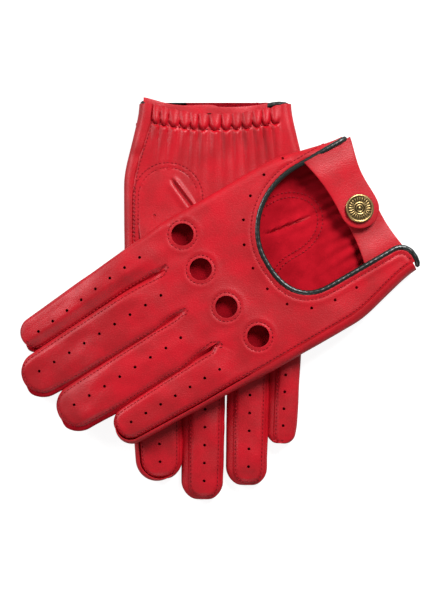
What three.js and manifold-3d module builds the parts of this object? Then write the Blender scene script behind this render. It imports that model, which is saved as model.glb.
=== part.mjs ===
// A pair of leather driving gloves, laid crossed on a table: the right glove lies palm up,
// and the left glove lies over it palm down, draped down to the table on both sides.
//
// Each glove is drawn in its own frame: u runs from the cuff edge to the fingertips, v from the
// index side to the little finger side, and w from the palm skin up to the back skin. The left
// glove keeps w upwards. The right glove is its mirror image, so there w runs downwards.
// Millimetres, +Z up.
import * as THREE from "three";
import { mergeVertices } from "three/addons/utils/BufferGeometryUtils.js";
import Module from "manifold-3d";

const wasm = await Module();
wasm.setup();

// ---------------------------------------------------------------- driving dimensions
const LEATHER = 1.0; // glove leather with its pressed seam
const THIN_LEATHER = 0.8; // fourchettes, thumb, straps and facings are skived thinner
const GAP = 0.35; // clearance between pieces that are sewn or riveted together

const HAND_WIDTH = 96; // across the knuckles, the glove lying flat
const CUFF_WIDTH = 80;
const CUFF_FLARE = 45; // the cuff widens to the hand over this length
const HAND_LENGTH = 118; // cuff edge to the crotch between the middle fingers
const CROTCH_CURVE = 0.008; // how fast the other crotches fall back, per millimetre squared
const CROTCH_CENTRE = -8;
const FINGERTIPS = [200.5, 210.5, 203, 181.5]; // cuff edge to each fingertip

const HAND_HEIGHT = 7.6; // outside to outside, over the palm
const CUFF_HEIGHT = 9.2;
const CROWN = 0.5; // how much the middle of the hand stands above its sides
const TIP_DROP = 0.9; // each finger skin closes in by this much at the fingertip
const EDGE_DROP = 0.5; // and by this much along its seams
const FOLD = 4.2; // radius across the side fold of the hand
const FINGER_FOLD = 2.4; // the same along the fingers
const FOLD_LIP = 0.3; // flat margin at the end of the fold
const CUFF_WRAP = 2.5; // the back skin reaches this much further round at the cuff
const FOURCHETTE_SLOPE = 3.0; // a finger's palm side is narrower than its back by this, each side
const SLIT = 1.6; // between two fingers

const KEYHOLE_TOP = 67.7; // cuff edge to the top of the keyhole opening
const KEYHOLE_INDEX_MARGIN = 2; // of the back skin left beside the keyhole, at the cuff
const KEYHOLE_LITTLE_MARGIN = 16.4;
const KEYHOLE_FLARE = 8; // corner radius where the keyhole runs out into the cuff edge
const PIPING_RADIUS = 1.05;

const KNUCKLE_HOLE_RADIUS = 6;
const KNUCKLE_FACING_WIDTH = 1.5;
const KNUCKLE_HOLES = [
  { behind: 19.7, share: -0.387 },
  { behind: 18.9, share: -0.175 },
  { behind: 20.7, share: 0.071 },
  { behind: 27.4, share: 0.295 },
]; // behind the middle crotch, and across the hand counted in hand widths

const SNAP = { u: 11.6, v: -2.8 };
const CAP_RADIUS = 7.5;
const CAP_HEIGHT = 1.35;
const CAP_EDGE = { under: 0.4, over: 0.5 }; // the rim is rolled in by these, below and on top
const RIVET_RADIUS = 1.5;
const SOCKET_RADIUS = 6.2;
const SOCKET_HEIGHT = 1.5;
const SOCKET_TAPER = 0.6; // the socket and the stud below it are drawn in by this much
const NUB_RADIUS = 2.3;
const NUB_HEIGHT = 1.2;
const NUB_EDGE = { across: 0.4, down: 0.3 };
const FLANGE_HEIGHT = 0.5;
const FLANGE_EDGE = 0.3;
const STUD_HOLLOW = 0.4; // depth of the pocket under the stud that takes the post
const STRAP_END_RADIUS = 10.2;
const STRAP_ROOT_HALF = 14.2;
const STRAP_HINGE_OFFSET = 2.4; // from the keyhole's edge to the line where the tab bends

const THUMB_BASE_HALF = 17; // half the width of the thumb's arched seam in the palm
const THUMB_ARCH = 19; // length of that arch
const THUMB_START = 50; // cuff edge to the widest place of the arch
const THUMB_LENGTH = 72; // from there to the thumb's tip
const THUMB_TUBE_HALF = 12.4;
const THUMB_HEIGHT = 3.2; // the thumb pressed flat

const ELASTIC_WIDTH = 5;
const ELASTIC_HEIGHT = 0.7;
const ELASTIC_FROM_HEM = 8; // the palm hem stands this far past the elastic
const ELASTIC_FROM_FOLD = 6; // the elastic stops this far from each side fold
const HEM_SIDE = 2.5; // the palm hem stands back from the cuff edge by this much at its sides
const HEM_HOLLOW = 4; // and by this much more in the middle

// The two gloves. Shares across are counted in hand widths. root is each finger's share of the
// hand's width, tip its centre line's place at the fingertip, half its half width there. proud is
// how far the piping stands over the skin, snapLift how far the snap's post floats off the elastic.
const SIDES = {
  left: {
    palmUp: false,
    heading: 210,
    cuff: [86.7, -53.1],
    root: [0.219, 0.257, 0.251, 0.273],
    tip: [-0.317, -0.12, 0.135, 0.37],
    half: [0.0927, 0.104, 0.106, 0.098],
    thumbAcross: -0.146,
    thumbTurn: 28,
    proud: 0.85,
    snapLift: 0.98,
  },
  right: {
    palmUp: true,
    heading: 270,
    cuff: [0, 0],
    root: [0.312, 0.25, 0.243, 0.195],
    tip: [-0.307, -0.077, 0.165, 0.359],
    half: [0.122, 0.11, 0.108, 0.083],
    thumbAcross: -0.24,
    thumbTurn: 2,
    proud: 0,
    snapLift: 0.08,
  },
};
const FINGERS = ["index", "middle", "ring", "little"];

const LEATHER_RED = 0xb01022;
const SUEDE_RED = 0xc00f20;
const materials = {
  leather: { color: LEATHER_RED, roughness: 0.5, metalness: 0 },
  lining: { color: SUEDE_RED, roughness: 0.9, metalness: 0 },
  piping: { color: 0x12110f, roughness: 0.35, metalness: 0 },
  brass: { color: 0xb08d4a, roughness: 0.35, metalness: 0.9 },
  elastic: { color: 0x8a1a20, roughness: 0.9, metalness: 0 },
};

// ---------------------------------------------------------------- small helpers
const mix = (a, b, t) => a + (b - a) * t;
const clamp = (x) => Math.min(1, Math.max(0, x));
const smooth = (x) => clamp(x) ** 2 * (3 - 2 * clamp(x));
const steps = (from, to, n) =>
  Array.from({ length: n + 1 }, (_, i) => mix(from, to, i / n));
const radians = (degrees) => (degrees * Math.PI) / 180;

// ---------------------------------------------------------------- the hand's shape
// Half the width of the glove, the fold's radius and how far it wraps, at a place along the hand.
const halfWidth = (u) => mix(CUFF_WIDTH, HAND_WIDTH, smooth(u / CUFF_FLARE)) / 2;
const foldAt = (u) => mix(FOLD, FINGER_FOLD, smooth((u - HAND_LENGTH * 0.7) / 60));
const wrapAt = (u) => CUFF_WRAP * (1 - smooth(u / 60));
const crotch = (v) => HAND_LENGTH - CROTCH_CURVE * (v - CROTCH_CENTRE) ** 2;

function backLevel(u, v) {
  const height = mix(CUFF_HEIGHT, HAND_HEIGHT, smooth((u - 10) / 28));
  const crown = 1 - Math.min(1, (v / (halfWidth(u) - FOLD - 1)) ** 2);
  return height + CROWN * crown * (1 - smooth((u - HAND_LENGTH) / 40));
}

// The back skin's outside where the side fold rolls it down on the index side.
function backSurface(u, v) {
  const fold = foldAt(u);
  const into = clamp((-v - (halfWidth(u) - fold)) / fold);
  const middle = backLevel(u, v) / 2;
  return middle + middle * Math.sqrt(1 - into * into);
}

// The five lines between and beside the fingers, from the cuff (0) to the crotches (1).
function rootLines(side) {
  const lines = [-HAND_WIDTH / 2];
  for (const share of side.root) lines.push(lines.at(-1) + share * HAND_WIDTH);
  return lines;
}

// One skin's own edges. A skin with a fold on a side starts that fold there, and the other skin
// stops short of it.
function skinEdges(kind, u) {
  const [half, fold] = [halfWidth(u), foldAt(u)];
  const seam = FOLD_LIP + GAP;
  if (kind === "back") return [-(half - fold), half - fold - seam];
  return [-(half - fold - wrapAt(u) - seam), half - fold];
}

const hemEdge = (kind, v) =>
  kind === "back" ? 0 : HEM_SIDE + HEM_HOLLOW * (1 - (v / (CUFF_WIDTH / 2)) ** 2);

// A point of the hand: column runs 0 to 4 across the four fingers, row 0 to 1 from the hem to the crotches.
function handPoint(side, kind, row, column) {
  const lines = rootLines(side);
  const k = Math.min(3, Math.floor(column));
  const place = mix(lines[k], lines[k + 1], column - k);
  const share = (place - lines[0]) / (lines[4] - lines[0]);
  const u = row > 0 ? row * crotch(place) : hemEdge(kind, (place * CUFF_WIDTH) / HAND_WIDTH);
  const [low, high] = skinEdges(kind, u);
  return [u, mix(low, high, share)];
}

// ---------------------------------------------------------------- the fingers' shape
const ROOT_BLEND = 14; // a finger takes its own width over this length
const TIP_CLEAR = 0.5; // the skin without the fold stands this much further back at the tip
const CAP_ROUNDNESS = 0.95; // length of the rounded tip against its half width

// A finger's frame and its skin's outline: two straight sides and a half-round end.
function finger(side, kind, k) {
  const lines = rootLines(side);
  const middle = (lines[k] + lines[k + 1]) / 2;
  const root = new THREE.Vector2(crotch(middle), middle);
  const tip = new THREE.Vector2(FINGERTIPS[k], side.tip[k] * HAND_WIDTH);
  const along = tip.clone().sub(root).normalize();
  const across = new THREE.Vector2(-along.y, along.x);
  const length = tip.distanceTo(root);
  const rootHalf = (lines[k + 1] - lines[k] - SLIT) / 2;
  const halfAt = (x) => mix(rootHalf, side.half[k] * HAND_WIDTH, x / length);
  const outer = { 0: -1, 3: 1 }[k] ?? 0; // the side with a fold in place of a fourchette
  const foldInset = (x) =>
    foldAt(root.x + x) + ((kind === "palm") === (outer < 0) ? FOLD_LIP + GAP : 0);
  const seamInset = kind === "back" ? GAP : FOURCHETTE_SLOPE;
  const insetAt = (sign, x) => (sign === outer ? foldInset(x) : seamInset);
  const foldless = (kind === "back") !== (outer < 0);
  const foldedEnd = foldInset(length) + (foldless ? TIP_CLEAR : 0);
  const endInset = outer ? foldedEnd : kind === "back" ? 0 : FOURCHETTE_SLOPE * 0.7;
  const low = (x) => -(halfAt(x) - insetAt(-1, x));
  const high = (x) => halfAt(x) - insetAt(1, x);
  const half = (x) => (high(x) - low(x)) / 2;
  const centre = (x) => (high(x) + low(x)) / 2;
  const end = length - endInset;
  const cap = half(end) * CAP_ROUNDNESS;
  return { k, kind, root, along, across, length, outer, half, centre, end, cap };
}

const toPlane = (f, x, y) => [
  f.root.x + f.along.x * x + f.across.x * y,
  f.root.y + f.along.y * x + f.across.y * y,
];

// How far a skin stands in from its middle level: nothing in the middle of a finger, EDGE_DROP
// at its seams and TIP_DROP at its end.
function fingerInset(f, x, t, round) {
  const seamSide = t * f.outer > 0 ? 0 : t ** 4;
  const edge = (1 - (1 - seamSide) * (1 - round ** 4)) * smooth(x / ROOT_BLEND);
  return TIP_DROP * smooth((x - f.length + 22) / 22) + EDGE_DROP * edge;
}

const skinLevel = (kind, u, v, inset) =>
  kind === "back" ? backLevel(u, v) - inset : inset;

// A point of a finger's skin: t is -1 to 1 across, x runs along the straight part, and round
// runs 0 to 1 through the tip.
function fingerPoint(side, f, x, t, round = 0) {
  const blend = smooth(x / ROOT_BLEND);
  const [rootU, rootV] = handPoint(side, f.kind, 1, f.k + (t + 1) / 2);
  const from = new THREE.Vector2(rootU, rootV).sub(f.root);
  const straight = f.centre(x) + t * f.half(x);
  let [a, b] = [
    x + from.dot(f.along) * (1 - blend),
    mix(from.dot(f.across), straight, blend),
  ];
  if (round > 0) {
    const flat = f.end - f.cap;
    a = flat + f.cap * round * Math.sqrt(1 - (t * t) / 2);
    b = f.centre(f.end) + f.half(f.end) * t * Math.sqrt(1 - (round * round) / 2);
  }
  const [u, v] = toPlane(f, a, b);
  return [u, v, skinLevel(f.kind, u, v, fingerInset(f, a, t, round))];
}

// ---------------------------------------------------------------- sheets of leather
// A sheet collects grids of points that share their edges, then gets its thickness towards the inside.
class Sheet {
  constructor() {
    this.points = [];
    this.triangles = [];
  }
  grid(rows) {
    const first = this.points.length;
    const width = rows[0].length;
    rows.forEach((row) => this.points.push(...row));
    for (let i = 0; i + 1 < rows.length; i++)
      for (let j = 0; j + 1 < width; j++) {
        const a = first + i * width + j;
        this.triangles.push(a, a + width, a + 1, a + 1, a + width, a + width + 1);
      }
    return this;
  }
  // Turned into one closed solid: outward is +1 where the grid's own normal faces out of the glove.
  thicken(thickness, outward) {
    const open = new THREE.BufferGeometry();
    open.setAttribute(
      "position",
      new THREE.Float32BufferAttribute(this.points.flat(), 3),
    );
    open.setIndex(this.triangles);
    const merged = mergeVertices(open, 1e-3);
    merged.computeVertexNormals();
    const place = merged.getAttribute("position");
    const normal = merged.getAttribute("normal");
    const outer = [];
    const inner = [];
    for (let i = 0; i < place.count; i++) {
      const p = new THREE.Vector3().fromBufferAttribute(place, i);
      const n = new THREE.Vector3().fromBufferAttribute(normal, i);
      outer.push(p.toArray());
      inner.push(p.addScaledVector(n, -outward * thickness).toArray());
    }
    const index = [...merged.index.array].filter((_, i, all) => {
      const t = i - (i % 3);
      return new Set([all[t], all[t + 1], all[t + 2]]).size === 3;
    });
    return closedBody(outer, inner, index);
  }
}

// Joins two copies of a surface by walls along its open edges.
function closedBody(outer, inner, index) {
  const n = outer.length;
  const triangles = [];
  const edges = new Map();
  for (let i = 0; i < index.length; i += 3) {
    const t = index.slice(i, i + 3);
    triangles.push(...t, t[0] + n, t[2] + n, t[1] + n);
    for (let e = 0; e < 3; e++) {
      const [a, b] = [t[e], t[(e + 1) % 3]];
      if (!edges.delete(b + "," + a)) edges.set(a + "," + b, [a, b]);
    }
  }
  for (const [a, b] of edges.values())
    triangles.push(a, a + n, b, b, a + n, b + n);
  return solidOf([...outer, ...inner].flat(), triangles);
}

// A closed body as a manifold-3d solid, turned the right way out.
function solidOf(coordinates, triangles) {
  const make = (tris) =>
    new wasm.Manifold(
      new wasm.Mesh({
        numProp: 3,
        vertProperties: new Float32Array(coordinates),
        triVerts: new Uint32Array(tris),
      }),
    );
  const solid = make(triangles);
  if (solid.volume() > 0) return solid;
  const turned = [];
  for (let i = 0; i < triangles.length; i += 3)
    turned.push(triangles[i], triangles[i + 2], triangles[i + 1]);
  return make(turned);
}

// A three.js geometry, moved by a matrix, as a manifold-3d solid.
function solidFrom(geometry, matrix = new THREE.Matrix4()) {
  const plain = new THREE.BufferGeometry();
  const loose = geometry.index ? geometry.toNonIndexed() : geometry;
  plain.setAttribute("position", loose.getAttribute("position"));
  plain.applyMatrix4(matrix);
  const merged = mergeVertices(plain, 1e-4);
  return solidOf([...merged.attributes.position.array], [...merged.index.array]);
}

function geometryOf(solid) {
  const mesh = solid.getMesh();
  const position = new Float32Array(mesh.numVert * 3);
  for (let i = 0; i < mesh.numVert; i++)
    for (let c = 0; c < 3; c++)
      position[i * 3 + c] = mesh.vertProperties[i * mesh.numProp + c];
  return new THREE.BufferGeometry()
    .setAttribute("position", new THREE.BufferAttribute(position, 3))
    .setIndex(new THREE.BufferAttribute(mesh.triVerts, 1));
}

// ---------------------------------------------------------------- how each glove lies
const RIGHT_TOP = HAND_HEIGHT + CROWN; // highest skin of the lower glove
const THUMB_LAYER = THUMB_HEIGHT + 2 * GAP; // both thumbs lie between the two palms
const DRAPE_HEIGHT = RIGHT_TOP + THUMB_LAYER;
const DRAPE_END = 0.6; // the draped glove's palm skin ends this far above the table
const DRAPE_LENGTH = { left: 54, right: 60 }; // run of the slope on each side of the lower glove
const DRAPE_OVERHANG = 1; // the slope starts this far outside the lower glove's edge

// The height of the left glove's palm skin over the table, by the place across the lower glove.
function drape(x) {
  const edge = HAND_WIDTH / 2 + DRAPE_OVERHANG;
  const past = x < 0 ? (-x - edge) / DRAPE_LENGTH.left : (x - edge) / DRAPE_LENGTH.right;
  return mix(DRAPE_HEIGHT, DRAPE_END, smooth(past));
}

function worldOf(side) {
  const angle = radians(side.heading);
  const [cu, su] = [Math.cos(angle), Math.sin(angle)];
  return (u, v, w) => {
    const x = side.cuff[0] + cu * u - su * v;
    const y = side.cuff[1] + su * u + cu * v;
    return [x, y, side.palmUp ? Math.max(0, backLevel(u, v) - w) : drape(x) + w];
  };
}

// The strap and the snap stay flat and stiff, so they follow the glove's own slope at the snap.
function flatWorldOf(side) {
  const world = worldOf(side);
  const level = backLevel(SNAP.u, SNAP.v);
  const [x0, , z0] = world(SNAP.u, SNAP.v, level);
  const slope = side.palmUp ? 0 : (drape(x0 + 1) - drape(x0 - 1)) / 2;
  return (u, v, w) => {
    const [x, y] = world(u, v, w);
    return [x, y, z0 + slope * (x - x0) + (w - level) * (side.palmUp ? -1 : 1)];
  };
}

// ---------------------------------------------------------------- the two big skins
const HAND_ROWS = 8;
const FINGER_COLUMNS = 4;
const FINGER_ROWS = 4;
const CAP_ROWS = 2;
const FOLD_COLUMNS = 4;
const FOLD_END_POINTS = 3; // the fold narrows over this many points
const FOLD_END_SHARE = 0.35; // down to this share of its radius

// The fold: a half-round strip that carries a skin round the side of the hand and the tip of its
// outer finger, then reaches a little way over the other skin's side. It narrows where a
// fourchette takes over.
function foldStrip(kind, edge, turn) {
  const outwardAt = (i) => {
    const before = edge[Math.max(0, i - 1)];
    const after = edge[Math.min(edge.length - 1, i + 1)];
    const along = new THREE.Vector2(after[0] - before[0], after[1] - before[1]);
    return new THREE.Vector2(along.y, -along.x).normalize().multiplyScalar(turn);
  };
  return edge.map(([u, v, w], i) => {
    const out = outwardAt(i);
    const far = backLevel(u, v) - w;
    const toEnd = clamp((edge.length - 1 - i) / FOLD_END_POINTS);
    const radius = (foldAt(u) - GAP) * mix(FOLD_END_SHARE, 1, toEnd);
    const wrap = kind === "back" ? wrapAt(u) * Math.sign(out.y) : 0;
    const strip = steps(0, Math.PI, FOLD_COLUMNS).map((angle) => [
      u + out.x * radius * Math.sin(angle),
      v + out.y * radius * Math.sin(angle),
      (w + far) / 2 + ((w - far) / 2) * Math.cos(angle),
    ]);
    strip[0] = [u, v, w];
    strip[FOLD_COLUMNS] = [u, v, far];
    return [...strip, [u - out.x * FOLD_LIP, v - out.y * FOLD_LIP - wrap, far]];
  });
}

function skin(side, kind) {
  const sheet = new Sheet();
  const columns = steps(0, 4, 4 * FINGER_COLUMNS);
  const level = (u, v) => [u, v, skinLevel(kind, u, v, 0)];
  const rows = steps(0, 1, HAND_ROWS);
  if (kind === "back") rows.splice(1, 0, HEM_SIDE / HAND_LENGTH);
  const hand = rows.map((row) =>
    columns.map((c) => level(...handPoint(side, kind, row, c))),
  );
  sheet.grid(hand);
  const fingers = FINGERS.map((_, k) => {
    const f = finger(side, kind, k);
    const ts = steps(-1, 1, FINGER_COLUMNS);
    const straight = steps(0, f.end - f.cap, FINGER_ROWS).map((x) =>
      ts.map((t) => fingerPoint(side, f, x, t)),
    );
    const round = steps(0, 1, CAP_ROWS)
      .slice(1)
      .map((r) => ts.map((t) => fingerPoint(side, f, f.end - f.cap, t, r)));
    sheet.grid([...straight, ...round]);
    return [...straight, ...round];
  });
  const edge =
    kind === "back"
      ? [
          ...hand.map((row) => row[0]),
          ...fingers[0].slice(1).map((row) => row[0]),
          ...fingers[0].at(-1).slice(1, -1),
        ]
      : [
          ...hand.map((row) => row.at(-1)),
          ...fingers[3].slice(1).map((row) => row.at(-1)),
          ...fingers[3].at(-1).slice(1, -1).reverse(),
        ];
  const strip = foldStrip(kind, edge, kind === "back" ? 1 : -1);
  sheet.grid(kind === "back" ? strip.map((row) => [...row].reverse()) : strip);
  return sheet.thicken(LEATHER, kind === "back" ? 1 : -1);
}

// ---------------------------------------------------------------- cutting and laying out
const toShape = (outline) =>
  new THREE.Shape(outline.map(([u, v]) => new THREE.Vector2(u, v)));

// A flat outline in the glove's plan as a prism between two heights.
function prism(outline, from, to) {
  const geometry = new THREE.ExtrudeGeometry(toShape(outline), {
    depth: to - from,
    bevelEnabled: false,
  });
  return solidFrom(geometry, new THREE.Matrix4().makeTranslation(0, 0, from));
}

// A turned part: its profile is radius and height, and it stands on the glove's plan at a place.
function turned(profile, place, segments) {
  const points = profile.map(([r, h]) => new THREE.Vector2(r, h));
  const geometry = new THREE.LatheGeometry(points, segments);
  const stand = new THREE.Matrix4().makeRotationX(Math.PI / 2);
  return solidFrom(geometry, stand.setPosition(place.u, place.v, place.w));
}

const cylinder = (radius, place, from, to, segments = 24) =>
  turned([[0, from], [radius, from], [radius, to], [0, to]], { ...place, w: 0 }, segments);

// ---------------------------------------------------------------- the keyhole and its piping
const KEYHOLE_CREST = -4; // where across the glove the keyhole reaches highest
const KEYHOLE_ARCHES = {
  index: { start: 30, squareness: 2, points: 7 },
  little: { start: 44, squareness: 2.5, points: 7 },
}; // each half of the arch is a quarter of a rounded square that starts this far from the cuff edge
const PIPING_CLEAR = PIPING_RADIUS + GAP;
const LITTLE_SIDE_SHIFT = 0.8; // the piping's line leans out by this on the little finger side
const ARCH_RUN_IN = { index: 7, little: 10 }; // each straight line stops this short of its arch
const FLARE_RUN_IN = 15; // and the second one this far from the cuff edge
const PIPING_START = 2; // the piping starts this far from the cuff edge
const PIPING_END = 1; // and ends this far inside the side fold
const ABOVE_PALM = 0.55; // cutters for the back skin start at this share of the cuff's height

// One half of the keyhole's arch, a rounded quarter from its side to its crest.
const keyholeArch = ({ start, squareness, points }, side, out) =>
  steps(0, Math.PI / 2, points).map((angle) => {
    const reach = side + Math.sign(side) * out - KEYHOLE_CREST;
    return [
      start + (KEYHOLE_TOP + out - start) * Math.sin(angle) ** (2 / squareness),
      KEYHOLE_CREST + reach * Math.cos(angle) ** (2 / squareness),
    ];
  });

// The piping's centre line, moved outwards by a clearance: up the index side, over, and out
// along the cuff edge.
function keyholeLine(out) {
  const index = -(CUFF_WIDTH / 2 - KEYHOLE_INDEX_MARGIN);
  const little = CUFF_WIDTH / 2 - KEYHOLE_LITTLE_MARGIN + LITTLE_SIDE_SHIFT;
  const [first, second] = [KEYHOLE_ARCHES.index, KEYHOLE_ARCHES.little];
  const flare = KEYHOLE_FLARE - out;
  const corner = [KEYHOLE_FLARE - PIPING_CLEAR, little + KEYHOLE_FLARE];
  const round = steps(0, Math.PI / 2, 4).map((angle) => [
    corner[0] - flare * Math.sin(angle),
    corner[1] - flare * Math.cos(angle),
  ]);
  const sideLine = (from, to, n, v) => steps(from, to, n).map((u) => [u, v]);
  return [
    ...sideLine(PIPING_START, first.start - ARCH_RUN_IN.index, 3, index - out),
    ...keyholeArch(first, index, out),
    ...keyholeArch(second, little, out).reverse().slice(1),
    ...sideLine(second.start - ARCH_RUN_IN.little, FLARE_RUN_IN, 2, little + out),
    ...round,
    [round.at(-1)[0], CUFF_WIDTH / 2 - FOLD - GAP - PIPING_END],
  ];
}

// The opening in the back skin: the keyhole line moved out, closed beyond the cuff edge.
function keyholeCutter() {
  const line = keyholeLine(PIPING_CLEAR);
  const beyond = -CUFF_WIDTH;
  const far = [[line.at(-1)[0], CUFF_WIDTH], [beyond, CUFF_WIDTH]];
  const outline = [[beyond, line[0][1]], ...line, ...far];
  return prism(outline, CUFF_HEIGHT * ABOVE_PALM, 2 * CUFF_HEIGHT);
}

function piping(side) {
  const points = keyholeLine(0).map(
    ([u, v]) => new THREE.Vector3(u, v, backSurface(u, v) - PIPING_RADIUS + side.proud),
  );
  const path = new THREE.CatmullRomCurve3(points, false, "centripetal");
  const round = new THREE.Shape().absarc(0, 0, PIPING_RADIUS, 0, 2 * Math.PI);
  const geometry = new THREE.ExtrudeGeometry(round, {
    extrudePath: path,
    steps: 56,
    curveSegments: 4,
    bevelEnabled: false,
  });
  return solidFrom(geometry);
}

// ---------------------------------------------------------------- back and palm
const FACING_UNDER = 0.1; // each facing lies this much deeper than the usual clearance

const knucklePlaces = () =>
  KNUCKLE_HOLES.map(({ behind, share }) => ({
    u: HAND_LENGTH - behind,
    v: share * HAND_WIDTH,
  }));

function backPanel(side) {
  let panel = skin(side, "back");
  for (const place of knucklePlaces()) {
    const hole = cylinder(KNUCKLE_HOLE_RADIUS, place, HAND_HEIGHT / 2, 2 * HAND_HEIGHT);
    panel = panel.subtract(hole);
  }
  return panel.subtract(keyholeCutter());
}

// A ring of leather under each knuckle hole, sewn to the back skin round the hole.
function knuckleFacing(place) {
  const top = backLevel(place.u, place.v) - LEATHER - GAP - FACING_UNDER;
  const outer = KNUCKLE_HOLE_RADIUS + KNUCKLE_FACING_WIDTH;
  const ring = [
    [KNUCKLE_HOLE_RADIUS, top - THIN_LEATHER],
    [outer, top - THIN_LEATHER],
    [outer, top],
    [KNUCKLE_HOLE_RADIUS, top],
    [KNUCKLE_HOLE_RADIUS, top - THIN_LEATHER],
  ];
  return turned(ring, { ...place, w: 0 }, 24);
}

function palmPanel(side) {
  const mouth = thumbOutline(side, THUMB_SEAM, THUMB_MOUTH_LENGTH);
  return skin(side, "palm").subtract(prism(mouth, -LEATHER, 2 * LEATHER));
}

// ---------------------------------------------------------------- fourchettes
// The wall between two fingers: from one fingertip down to the crotch and up to the next fingertip.
const WALL_INSET = 0.7; // the wall stands this far inside the skins' edges
const WALL_CLEAR = 0.9; // and its leaning upper edge stays this far under the back skin
const WALL_END = 0.12; // it stops this share of a finger's half width short of the tip's middle

function fingerWall(side, k, sign) {
  const [back, palm] = ["back", "palm"].map((kind) => finger(side, kind, k));
  const stations = [];
  const place = (f, x, t, round) => {
    const [u, v, w] = fingerPoint(side, f, x, t, round);
    return { u, v, w };
  };
  const row = (x, t, round) => {
    const into = back.across.clone().multiplyScalar(-sign * (1 - round));
    into.addScaledVector(back.along, -round).normalize().multiplyScalar(WALL_INSET);
    const top = place(back, x(back), t, round);
    const low = place(palm, x(palm), t, round);
    const from = [top.u + into.x, top.v + into.y, top.w - LEATHER - WALL_CLEAR];
    const to = [low.u + into.x, low.v + into.y, low.w + LEATHER + GAP];
    return [from, to];
  };
  for (const s of steps(0, 1, FINGER_ROWS).slice(1))
    stations.push(row((f) => s * (f.end - f.cap), sign, 0));
  const tipHalf = back.outer === 0 ? steps(sign, WALL_END * sign, 2) : [sign];
  for (const [t, round] of [[sign, 0.5], ...tipHalf.map((t) => [t, 1])])
    stations.push(row((f) => f.end - f.cap, t, round));
  return stations;
}

function fourchette(side, k) {
  const first = fingerWall(side, k, 1).reverse();
  const second = fingerWall(side, k + 1, -1);
  const crotchPoint = ["back", "palm"].map((kind) => {
    const [u, v] = handPoint(side, kind, 1, k + 1);
    const level = kind === "back" ? backLevel(u, v) - LEATHER - WALL_CLEAR : LEATHER + GAP;
    return [u - WALL_INSET, v, level];
  });
  return new Sheet().grid([...first, crotchPoint, ...second]).thicken(THIN_LEATHER, -1);
}

// ---------------------------------------------------------------- the thumb
const THUMB_SEAM = 3; // the thumb's leather reaches this far past the mouth in the palm
const THUMB_MOUTH_LENGTH = 14; // the mouth reaches this far up from the arch's widest place
const THUMB_MOUTH_NARROWS = 1; // and is narrower there by this much each side

// The thumb's plan: an arch at its base, then a tube with a round tip. A mouth is the same arch,
// cut short.
function thumbOutline(side, inset, upTo) {
  const centre = new THREE.Vector2(THUMB_START, side.thumbAcross * HAND_WIDTH);
  const turn = radians(side.thumbTurn);
  const arch = steps(-Math.PI / 2, Math.PI / 2, 10).map((angle) => [
    -(THUMB_ARCH - inset) * Math.cos(angle),
    (THUMB_BASE_HALF - inset) * Math.sin(angle),
  ]);
  const tube = THUMB_TUBE_HALF - inset;
  const tip = THUMB_LENGTH - THUMB_TUBE_HALF;
  const round = steps(0, Math.PI, 8).map((angle) => [
    tip + tube * Math.sin(angle),
    tube * Math.cos(angle),
  ]);
  const mouthHalf = THUMB_BASE_HALF - inset - THUMB_MOUTH_NARROWS;
  const mouth = [[upTo, mouthHalf], [upTo, -mouthHalf]];
  const outline = upTo ? [...arch, ...mouth] : [...arch, ...round];
  return outline.map(([a, b]) => {
    const p = new THREE.Vector2(a, b).rotateAround(new THREE.Vector2(), turn).add(centre);
    return [p.x, p.y];
  });
}

function thumb(side) {
  const top = -GAP;
  const bottom = top - THUMB_HEIGHT;
  const [roof, floor] = [top - THIN_LEATHER, bottom + THIN_LEATHER];
  const pouch = prism(thumbOutline(side, 0), bottom, top);
  const inside = prism(thumbOutline(side, THIN_LEATHER), floor, roof);
  const mouth = prism(thumbOutline(side, THUMB_SEAM, THUMB_MOUTH_LENGTH), floor, top + 1);
  return pouch.subtract(inside.add(mouth));
}

// ---------------------------------------------------------------- the wrist strap and its snap
const STRAP_EDGES = { cuffSide: 2.6, fingerSide: 23.6 };
const ANCHOR_UNDER = 5; // the anchor runs on under the back skin by this much
const ANCHOR_NARROWER = 1; // and its round end is smaller than the tab's, so it stays hidden
const TAB_ROOT_SHIFT = 1; // the tab's root leans this far towards the fingers
const TAB_SHOULDER = 1.5; // and its cuff side swells by this much between root and snap
const SOCKET_WALL = 0.5;
const STRAP_MIDDLE = (STRAP_EDGES.cuffSide + STRAP_EDGES.fingerSide) / 2;

// Heights of the snap's layers, stacked up from the elastic under its post. Where the hand gets
// thinner towards the fingers the palm rises to meet the flat post, so the stack starts higher.
function snapLayers(side) {
  const rise = backLevel(SNAP.u, SNAP.v) - backLevel(SNAP.u + SOCKET_RADIUS, SNAP.v);
  const bed = LEATHER + GAP + ELASTIC_HEIGHT + rise + side.snapLift;
  const post = bed + FLANGE_HEIGHT;
  const anchor = post + GAP + THIN_LEATHER;
  const stud = anchor + GAP + FLANGE_HEIGHT;
  const socket = stud + GAP + SOCKET_HEIGHT;
  const tab = socket + GAP + THIN_LEATHER;
  const capUnder = tab + GAP;
  return { top: capUnder + CAP_HEIGHT, capUnder, tab, socket, stud, anchor, post };
}

// A strap cut from an outline, with the rivet's hole, its upper face at a height.
function punched(outline, top) {
  const strap = prism(outline, top - THIN_LEATHER, top);
  const [from, to] = [top - 2 * THIN_LEATHER, top + THIN_LEATHER];
  return strap.subtract(cylinder(RIVET_RADIUS + GAP, SNAP, from, to, 16));
}

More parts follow.
